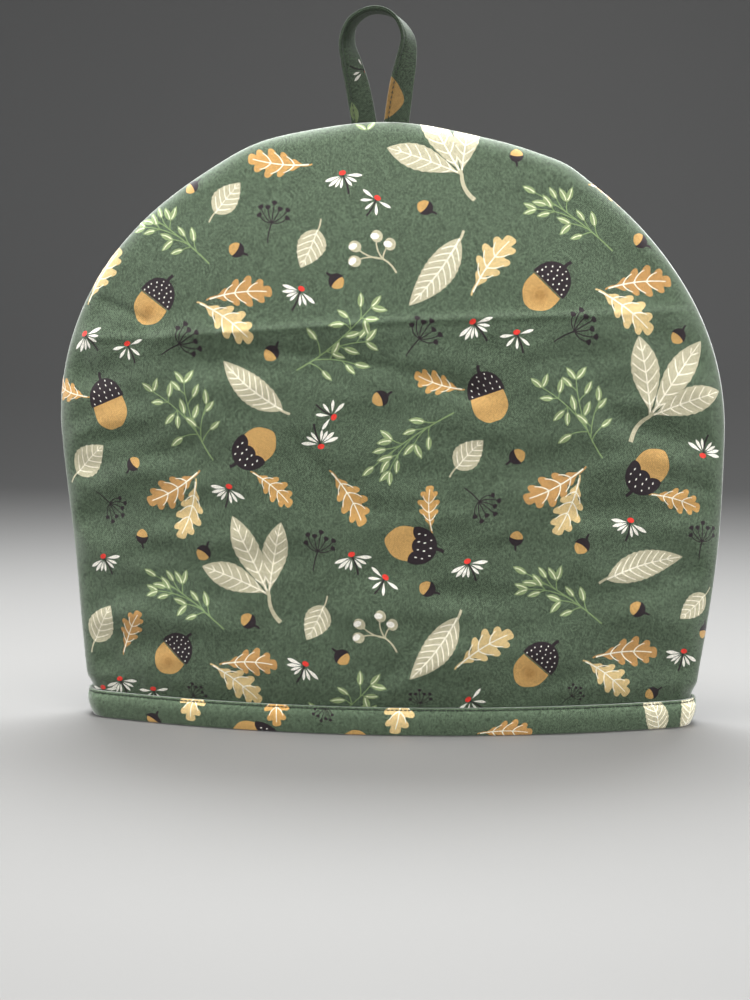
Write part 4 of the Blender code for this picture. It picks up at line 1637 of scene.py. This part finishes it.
@dataclass
class HangingLoop:
    """The folded strip at the crown, topstitched on both faces along its open edge."""

    cloth: ClothPrint
    width: float = 0.0125
    thickness: float = 0.0018
    turn_curve: float = 1.3
    stitch_inset: float = 0.0020
    groove_width: float = 0.0006
    pitch: float = 0.6
    around: int = 39
    steps: int = 150
    path: tuple[tuple[float, float], ...] = (
        (-0.0119, 0.2983), (-0.0136, 0.3085), (-0.0158, 0.3195), (-0.0184, 0.3295),
        (-0.0203, 0.3385), (-0.0182, 0.3472), (-0.0125, 0.3522), (-0.0060, 0.3538),
        (0.0010, 0.3520), (0.0067, 0.3468), (0.0099, 0.3390), (0.0089, 0.3295),
        (0.0069, 0.3195), (0.0052, 0.3085), (0.0039, 0.2983),
    )

    def frames(self) -> tuple[Array, Array, Array, Array]:
        """The strap's middle line with its width and thickness directions.

        The strip turns half round: its twist is a quarter turn times the share of the climb
        raised to a power, and half a turn less that on the way down.

        Returns:
            Length in mm, middle points, width directions and thickness directions.
        """
        line = smooth_path(np.array(self.path), self.steps)
        run = unit(np.gradient(line, axis=0))
        middle = np.argmax(line[:, 1])
        climb = np.clip((line[:, 1] - line[0, 1]) / (line[middle, 1] - line[0, 1]), 0.0, 1.0)
        turned = QUARTER * climb**self.turn_curve
        twist = np.where(np.arange(len(line)) <= middle, turned, math.pi - turned)[:, None]
        nought = np.zeros(len(line))
        beside = columns(run[:, 1], nought, -run[:, 0])
        wide_way = np.cos(twist) * beside + np.sin(twist) * np.array([0.0, 1.0, 0.0])
        ahead = columns(run[:, 0], nought, run[:, 1])
        centre = columns(line[:, 0], nought, line[:, 1])
        return run_length(line) / MM, centre, wide_way, np.cross(ahead, wide_way)

    def section(self) -> tuple[Array, Array]:
        """The strap cut across: a rounded folded edge, flat faces with a stitch groove, two lips.

        Returns:
            Lengths round it in mm, and places across and through it in metres.
        """
        half, thick = 0.5 * self.width, 0.5 * self.thickness
        angle = np.linspace(-QUARTER, QUARTER, 9)
        flat = half - thick
        end = columns(flat + thick * np.cos(angle), thick * np.sin(angle))
        across = np.linspace(flat, -flat, 35)
        beside = (across + half - self.stitch_inset) / self.groove_width
        face = columns(across, thick * (1.0 - 0.62 * np.exp(-(beside**2))))[1:-1]
        lips = np.array([
            [-flat, 1.0], [-flat - 0.5 * thick, 0.96], [-half, 0.62], [-half + 0.1 * thick, 0.22],
            [-half + 0.5 * thick, 0.0],
        ]) * [1.0, thick]
        other = [1.0, -1.0]
        points = np.vstack([end, face, lips, lips[-2::-1] * other, face[::-1] * other, end[:1]])
        return run_length(points) / MM, points

    def shaped(self, flat: Array) -> Array:
        """Carries the section along the strap.

        Args:
            flat: mm along the strap, and mm round the section.

        Returns:
            Points in metres.
        """
        length, *ways = self.frames()
        around, points = self.section()
        places = read_rows(around[-1] - flat[:, 1], around, points)
        centre, wide_way, thick_way = (read_rows(flat[:, 0], length, rows) for rows in ways)
        return centre + places[:, [0]] * wide_way + places[:, [1]] * thick_way

    def stitch_line(self, face: float) -> tuple[Array, Array]:
        """One side of the topstitching along the open edge.

        Args:
            face: 1 for the outer face of the strap and -1 for the inner one.

        Returns:
            Close points along the strap, and the way out of the cloth at each.
        """
        _, centre, wide_way, thick_way = self.frames()
        across = self.stitch_inset - 0.5 * self.width
        line = centre + across * wide_way + face * 0.5 * self.thickness * 0.5 * thick_way
        return line[2:-2], face * thick_way[2:-2]

    def build(self, material: bpy.types.Material) -> bpy.types.Object:
        """Cuts the printed strip and carries it over the loop's path.

        Args:
            material: the strip's finish.

        Returns:
            The finished piece.
        """
        length = self.frames()[0][-1]
        wrap = self.section()[0][-1]
        border = strip_border(length, wrap, self.steps, self.around + 1)
        inner = hex_points((0.4, 0.35), (length - 0.3, wrap - 0.3), self.pitch)
        cut = CutCloth.cut(border, inner, self.cloth.shapes())
        shell = Shell()
        shell.add(self.shaped(cut.flat), cut.triangles, cut.flat, cut.inks)
        count = self.around
        index = np.arange(count)
        fan = columns(index, np.full(count, count), (index + 1) % count)
        for place, triangles in ((0.0, fan[:, ::-1]), (length, fan)):
            over = np.linspace(0.0, wrap, count + 1)[:-1]
            ring = columns(np.full(count, place), over)
            edge = self.shaped(ring)
            points = np.vstack([edge, edge.mean(axis=0)])
            shell.add(points, triangles, np.vstack([ring, ring[:1]]), np.zeros(count, int))
        made = shell.piece("hanging_loop_cloth", material)
        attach(made, "root")
        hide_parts("hanging_loop")
        return made


@dataclass(frozen=True)
class ThreadRow:
    """A row of machine stitches along a line that lies on the cloth."""

    name: str
    length: float
    gap: float
    radius: float = 0.0003
    sink: float = 0.00004
    rings: int = 5
    sides: int = 6

    def build(self, line: Array, facing: Array, material: bpy.types.Material) -> bpy.types.Object:
        """Lays stitches end to end: each is a stretched ball along the line's own direction.

        Args:
            line: many close points along the row, in metres.
            facing: the way out of the cloth at each.
            material: the thread's finish.

        Returns:
            The finished piece.
        """
        along = run_length(line)
        count = int(along[-1] / (self.length + self.gap))
        starts = (np.arange(count) + 0.5) * along[-1] / count
        half = 0.5 * self.length
        middle = read_rows(starts, along, line)
        way = unit(read_rows(starts + half, along, line) - read_rows(starts - half, along, line))
        out = read_rows(starts, along, facing)
        out = unit(out - np.sum(out * way, axis=1, keepdims=True) * way)
        beside = np.cross(way, out)
        rings, sides = self.rings, self.sides
        height = np.linspace(-1.0, 1.0, rings + 2)[1:-1]
        angle = np.linspace(0.0, TURN, sides, endpoint=False)
        swell = np.sqrt(1.0 - height**2)
        ring = columns(
            np.repeat(half * height, sides),
            (self.radius * np.outer(swell, np.cos(angle))).ravel(),
            (self.radius * np.outer(swell, np.sin(angle))).ravel(),
        )
        ball = np.vstack([ring, [[-half, 0.0, 0.0], [half, 0.0, 0.0]]])
        points = (
            (middle - self.sink * out)[:, None]
            + ball[None, :, [0]] * way[:, None]
            + ball[None, :, [1]] * beside[:, None]
            + ball[None, :, [2]] * out[:, None]
        )
        index = np.arange(rings * sides).reshape(rings, sides)
        ahead = np.roll(index, -1, axis=1)
        quads = columns(index[:-1], ahead[:-1], ahead[1:], index[1:]).reshape(-1, 4)
        low, high = rings * sides, rings * sides + 1
        triangles = np.vstack([
            quads[:, [0, 1, 2]], quads[:, [0, 2, 3]],
            columns(ahead[0], index[0], np.full(sides, low)),
            columns(index[-1], ahead[-1], np.full(sides, high)),
        ])
        every = (triangles[None] + len(ball) * np.arange(count)[:, None, None]).reshape(-1, 3)
        mesh = bpy.data.meshes.new(self.name)
        mesh.from_pydata(points.reshape(-1, 3), [], every)
        mesh.shade_smooth()
        mesh.materials.append(material)
        made = in_scene(self.name, mesh)
        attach(made, "root")
        return made


def new_finish(name: str, sockets: dict[str, float]) -> tuple[bpy.types.Material, bpy.types.Node]:
    """Makes a material and sets plain values on its shader's own sockets.

    Args:
        name: the material's name.
        sockets: the value of each named socket.

    Returns:
        The material and its shader.
    """
    made = bpy.data.materials.new(name)
    made.use_nodes = True
    shader = made.node_tree.nodes["Principled BSDF"]
    for socket, value in sockets.items():
        shader.inputs[socket].default_value = value
    return made, shader


Value = bpy.types.NodeSocket | float


def twill_group() -> bpy.types.NodeTree:
    """Builds the shared weave: slanting twill ribs with heathered threads, for the cloth's UV map.

    A rib is the sine of the distance across the slant. Inputs: Vector, the cloth's own place in
    metres, and Heather, how much its threads vary. Outputs: Shade, which multiplies a colour, and
    Height, for a bump.

    Returns:
        The node group.
    """
    group = bpy.data.node_groups.new("twill_weave", "ShaderNodeTree")
    group.interface.new_socket("Vector", in_out="INPUT", socket_type="NodeSocketVector")
    group.interface.new_socket("Heather", in_out="INPUT", socket_type="NodeSocketFloat")
    group.interface.new_socket("Shade", in_out="OUTPUT", socket_type="NodeSocketFloat")
    group.interface.new_socket("Height", in_out="OUTPUT", socket_type="NodeSocketFloat")
    nodes, links = group.nodes, group.links
    inlet, outlet = nodes.new("NodeGroupInput"), nodes.new("NodeGroupOutput")

    place, heathered = inlet.outputs["Vector"], inlet.outputs["Heather"]

    def math_node(kind: str, first: Value, second: Value | None = None) -> bpy.types.NodeSocket:
        """Adds one sum.

        Args:
            kind: the sum's name.
            first, second: its terms.

        Returns:
            Its result.
        """
        node = nodes.new("ShaderNodeMath")
        node.operation = kind
        for slot, value in zip(node.inputs, (first, second)):
            if isinstance(value, bpy.types.NodeSocket):
                links.new(value, slot)
            elif value is not None:
                slot.default_value = value
        return node.outputs[0]

    def noise(scale: float, detail: float) -> bpy.types.NodeSocket:
        """Adds a noise pattern over the cloth.

        Args:
            scale: how many of its bumps a metre holds.
            detail: how many finer layers it has.

        Returns:
            Its value.
        """
        node = nodes.new("ShaderNodeTexNoise")
        node.inputs["Scale"].default_value = scale
        node.inputs["Detail"].default_value = detail
        links.new(place, node.inputs["Vector"])
        return node.outputs["Fac"]

    split = nodes.new("ShaderNodeSeparateXYZ")
    links.new(place, split.inputs[0])
    u, v = split.outputs[0], split.outputs[1]
    pitch, slant = 0.00076, math.radians(40.0)
    thread_width, thread_length = 0.00034, 0.00046
    up, over = math_node("MULTIPLY", v, math.cos(slant)), math_node("MULTIPLY", u, math.sin(slant))
    turns = math_node("MULTIPLY", math_node("SUBTRACT", up, over), TURN / pitch)
    wander = math_node("MULTIPLY", noise(120.0, 1.0), 2.0)
    rib = math_node("SINE", math_node("ADD", turns, wander))
    column = math_node("FLOOR", math_node("DIVIDE", u, thread_width))
    half_step = math_node("MULTIPLY", column, 0.5)
    shifted = math_node("ADD", math_node("DIVIDE", v, thread_length), half_step)
    cell = nodes.new("ShaderNodeCombineXYZ")
    links.new(column, cell.inputs[0])
    links.new(math_node("FLOOR", shifted), cell.inputs[1])
    speck = nodes.new("ShaderNodeTexWhiteNoise")
    speck.noise_dimensions = "2D"
    links.new(cell.outputs[0], speck.inputs["Vector"])
    heather = math_node("SUBTRACT", speck.outputs["Value"], 0.5)
    heather = math_node("MULTIPLY", heather, heathered)
    slub = math_node("MULTIPLY", math_node("SUBTRACT", noise(300.0, 3.0), 0.5), heathered)
    depth = math_node("ADD", math_node("MULTIPLY", heathered, 0.20), 0.06)
    shade = math_node("ADD", 1.0, math_node("MULTIPLY", rib, depth))
    shade = math_node("ADD", shade, math_node("MULTIPLY", heather, 1.25))
    shade = math_node("ADD", shade, math_node("MULTIPLY", slub, 0.12))
    links.new(shade, outlet.inputs["Shade"])
    height = math_node("ADD", math_node("MULTIPLY", rib, 0.5), math_node("MULTIPLY", heather, 0.9))
    links.new(height, outlet.inputs["Height"])
    return group


@dataclass(frozen=True)
class PrintedCotton:
    """Matt printed twill: the print's inks, darkened and lightened thread by thread, and over the
    whole piece by its own tone together with painted light and painted shade where depth is not 1.
    """

    surface: Surface
    weave: bpy.types.NodeTree
    # depth multiplies the whole colour: partly the cloth's own tone, partly painted light where it
    # is above 1 and painted shade where it is below 1.
    depth: float = 1.0
    roughness: float = 0.86
    sheen: float = 0.65
    bump: float = 0.28
    bump_height: float = 0.00012

    def material(self) -> bpy.types.Material:
        """Builds the finish.

        Returns:
            The material, named for its slot.
        """
        made, shader = new_finish(self.surface.value, {
            "Roughness": self.roughness, "Specular IOR Level": 0.25,
            "Sheen Weight": self.sheen, "Sheen Roughness": 0.38,
        })
        nodes, links = made.node_tree.nodes, made.node_tree.links
        place = nodes.new("ShaderNodeUVMap")
        place.uv_map = "cloth"
        inks = nodes.new("ShaderNodeVertexColor")
        inks.layer_name = "print"
        weave = nodes.new("ShaderNodeGroup")
        weave.node_tree = self.weave
        links.new(place.outputs["UV"], weave.inputs["Vector"])
        links.new(inks.outputs["Alpha"], weave.inputs["Heather"])
        # Multiplies the weave by the depth factor, which carries the cloth's own tone together with
        # painted light and painted shade.
        tone_and_painted_light = nodes.new("ShaderNodeMath")
        tone_and_painted_light.operation = "MULTIPLY"
        tone_and_painted_light.inputs[1].default_value = self.depth
        links.new(weave.outputs["Shade"], tone_and_painted_light.inputs[0])
        mix = nodes.new("ShaderNodeMix")
        mix.data_type, mix.blend_type = "RGBA", "MULTIPLY"
        mix.inputs["Factor"].default_value = 1.0
        links.new(inks.outputs["Color"], mix.inputs["A"])
        links.new(tone_and_painted_light.outputs[0], mix.inputs["B"])
        links.new(mix.outputs["Result"], shader.inputs["Base Color"])
        bump = nodes.new("ShaderNodeBump")
        bump.inputs["Strength"].default_value = self.bump
        bump.inputs["Distance"].default_value = self.bump_height
        links.new(weave.outputs["Height"], bump.inputs["Height"])
        links.new(bump.outputs["Normal"], shader.inputs["Normal"])
        return made


@dataclass(frozen=True)
class SewingThread:
    """Dark green sewing thread with a slight lustre and the lines of its twist."""

    colour: tuple[float, float, float, float] = linear(26, 34, 28)
    lustre: float = 1.6
    twist: float = 3200.0

    def material(self) -> bpy.types.Material:
        """Builds the finish: noise finer than a thread mixes its colour with a lighter one.

        Returns:
            The material.
        """
        made, shader = new_finish("sewing_thread", {"Roughness": 0.55})
        nodes, links = made.node_tree.nodes, made.node_tree.links
        place = nodes.new("ShaderNodeTexCoord")
        noise = nodes.new("ShaderNodeTexNoise")
        noise.inputs["Scale"].default_value = self.twist
        links.new(place.outputs["Object"], noise.inputs["Vector"])
        mix = nodes.new("ShaderNodeMix")
        mix.data_type = "RGBA"
        links.new(noise.outputs["Fac"], mix.inputs["Factor"])
        mix.inputs["A"].default_value = self.colour
        lighter = [self.lustre * part for part in self.colour[:3]]
        mix.inputs["B"].default_value = (*lighter, 1.0)
        links.new(mix.outputs["Result"], shader.inputs["Base Color"])
        return made


@dataclass(frozen=True)
class Studio:
    """A plain pale floor that curves up into a backdrop, soft lights and the camera."""

    eye_distance: float = 0.757
    eye_turn: float = 3.8
    eye_height: float = 0.185
    look_down: float = 5.51
    look_left: float = 0.5
    lens: float = 54.07
    floor_reach: float = 4.0
    floor_back: float = 1.3
    floor_bend: float = 0.9
    backdrop_top: float = 3.5

    def floor(self) -> None:
        """A floor and backdrop in one sheet: level, then a quarter circle, then upright."""
        bend, back, reach = self.floor_bend, self.floor_back, self.floor_reach
        angle = np.linspace(0.0, QUARTER, 25)
        profile = np.vstack([
            [[-reach, 0.0]],
            columns(back + bend * np.sin(angle), bend * (1.0 - np.cos(angle))),
            [[back + bend, self.backdrop_top]],
        ])
        across = np.linspace(-reach, reach, 9)
        y = np.repeat(profile[:, 0], len(across))
        z = np.repeat(profile[:, 1], len(across))
        x = np.tile(across, len(profile))
        row = len(across)
        start = np.add.outer(np.arange(len(profile) - 1) * row, np.arange(row - 1)).ravel()
        faces = columns(start, start + 1, start + 1 + row, start + row)
        mesh = bpy.data.meshes.new("floor")
        mesh.from_pydata(columns(x, y, z), [], faces)
        mesh.shade_smooth()
        paint, shader = new_finish("pale_floor", {"Roughness": 0.7})
        shader.inputs["Base Color"].default_value = (0.20, 0.197, 0.193, 1.0)
        mesh.materials.append(paint)
        in_scene("floor", mesh)

    @staticmethod
    def light(name: str, place: tuple[float, ...], aim: tuple[float, ...],
              size: tuple[float, float], power: float, colour: tuple[float, ...]) -> None:
        """Hangs one soft rectangular light.

        Args:
            name: its name.
            place: where it hangs.
            aim: the point that it faces.
            size: its width and height.
            power: its power in watts.
            colour: its colour.
        """
        lamp = bpy.data.lights.new(name, "AREA")
        lamp.shape = "RECTANGLE"
        lamp.size, lamp.size_y = size
        lamp.energy = power
        lamp.color = colour
        made = in_scene(name, lamp)
        made.location = place
        made.rotation_euler = (Vector(aim) - Vector(place)).to_track_quat("-Z", "Y").to_euler()

    def lights(self) -> None:
        """Broad lights over and behind the crown, weak ones in front and beside, and a pale sky."""
        warm, cool, soft = (1.0, 0.99, 0.97), (0.97, 0.99, 1.0), (1.0, 0.99, 0.98)
        self.light("overhead", (-0.08, -0.24, 1.05), (0.0, -0.04, 0.15), (0.7, 0.3), 11.5, warm)
        self.light("crown", (0.0, 0.36, 0.90), (0.0, 0.0, 0.24), (0.9, 0.3), 22.0, cool)
        self.light("front_fill", (0.25, -1.7, 0.50), (0.0, 0.0, 0.12), (0.9, 0.7), 12.5, warm)
        for name, side in (("left_rim", -1.0), ("right_rim", 1.0)):
            place, aim = (0.95 * side, 0.10, 0.45), (0.14 * side, 0.0, 0.14)
            self.light(name, place, aim, (0.3, 0.6), 6.0, soft)
        world = bpy.context.scene.world or bpy.data.worlds.new("sky")
        bpy.context.scene.world = world
        world.use_nodes = True
        backing = world.node_tree.nodes["Background"]
        backing.inputs["Color"].default_value = (0.90, 0.95, 1.0, 1.0)
        backing.inputs["Strength"].default_value = 0.28
        bpy.context.scene.view_settings.view_transform = "Standard"

    def camera(self) -> None:
        """Stands the camera where the photograph was taken from."""
        turn = math.radians(self.eye_turn)
        reach = self.eye_distance
        eye = Vector((reach * math.sin(turn), -reach * math.cos(turn), self.eye_height))
        heading = turn + math.radians(self.look_left)
        down = math.radians(self.look_down)
        level = math.cos(down)
        ahead, aside = math.cos(heading) * level, -math.sin(heading) * level
        look = Vector((aside, ahead, -math.sin(down)))
        lens = bpy.data.cameras.new("camera")
        lens.lens = self.lens
        lens.sensor_width = 36.0
        lens.clip_start = 0.01
        made = in_scene("camera", lens)
        made.location = eye
        made.rotation_euler = look.to_track_quat("-Z", "Y").to_euler()
        bpy.context.scene.camera = made

    def build(self) -> None:
        """Sets up the floor, the lights and the camera."""
        self.camera()
        self.floor()
        self.lights()


HALF_ROUND = 330.0
BINDING_FRONT: Chart = (
    (oak(Ink.PALE), ((261, -18, 88, 30), (156, -18, 85, 32))),
    (oak(Ink.TAN), ((118, 13.8, 180, 27),)),
    (oak(Ink.GOLD), ((220, -15, 97, 27),)),
    (Motifs.notched_acorn, ((241, 16.6, 172, 28),)),
    (Motifs.dotted_acorn, ((177, 12.3, 84, 27),)),
    (Motifs.small_acorn, ((286, 16.2, -135, 10),)),
    (Motifs.umbel, ((190, -5, 70, 13),)),
    (Motifs.long_leaf, ((21, 22, -68, 34), (8, 23, -88, 34))),
)
BINDING_CHART: Chart = BINDING_FRONT + tuple(
    (draw, tuple((along + HALF_ROUND, across, turn, size) for along, across, turn, size in rows))
    for draw, rows in BINDING_FRONT
)
LOOP_CHART: Chart = (
    (Motifs.spare_daisy, ((26, -0.7, 66, 9),)),
    (Motifs.lone_leaf, ((1.5, 9.0, 5, 9.5),)),
    (Motifs.notched_acorn, ((117.5, 22.3, -90, 36),)),
)


def report(piece: bpy.types.Object) -> None:
    """Logs one finished piece with its number of triangles."""
    piece.data.calc_loop_triangles()
    log.info("%s: %d triangles", piece.name, len(piece.data.loop_triangles))


def main() -> None:
    """Builds the studio and the cosy's pieces in order."""
    logging.basicConfig(level=logging.INFO, format="%(name)s %(message)s")
    Studio().build()
    weave = twill_group()
    form = CosyForm()
    cottons = (
        PrintedCotton(Surface.FRONT, weave),
        PrintedCotton(Surface.BACK, weave),
        # The binding's cloth is lightened past its own slightly lighter tone: painted light for its
        # face that swells up towards the lamps.
        PrintedCotton(Surface.BINDING, weave, depth=1.36),
        # The loop's cloth is darkened well past its own darker tone: painted shade for its
        # turned-away leg.
        PrintedCotton(Surface.LOOP, weave, depth=0.42, sheen=0.15),
    )
    finishes = {cotton.surface: cotton.material() for cotton in cottons}
    front_folds = FRONT_FOLDS + SHARP_CREASES + RIPPLES
    front_print = ClothPrint(FRONT_CHART)
    front = Panel(form, "front_panel_cloth", "front_panel", 1.0, front_folds, front_print,
                  seed=11, creases=SHARP_CREASES)
    back_print = ClothPrint(FRONT_CHART, mirrored=True)
    back = Panel(form, "back_panel_cloth", "back_panel", -1.0, BACK_FOLDS, back_print,
                 seed=23, pitch=2.6, rim_pitch=1.5)
    hem, loop = HemBinding(form, ClothPrint(BINDING_CHART)), HangingLoop(ClothPrint(LOOP_CHART))
    thread = SewingThread().material()
    hem_row = ThreadRow("hem_topstitching", length=0.0017, gap=0.0004)
    pieces = [
        (front.build(finishes[Surface.FRONT]), Surface.FRONT),
        (back.build(finishes[Surface.BACK]), Surface.BACK),
        (hem.build(finishes[Surface.BINDING]), Surface.BINDING),
        (loop.build(finishes[Surface.LOOP]), Surface.LOOP),
        (hem_row.build(*hem.stitch_line(), thread), Surface.BINDING),
    ]
    for name, face in (("loop_topstitching_outer", 1.0), ("loop_topstitching_inner", -1.0)):
        row = ThreadRow(name, length=0.0019, gap=0.0005)
        row = row.build(*loop.stitch_line(face), thread)
        pieces.append((row, Surface.LOOP))
    for piece, surface in pieces:
        report(piece)


if __name__ == "__main__":
    main()
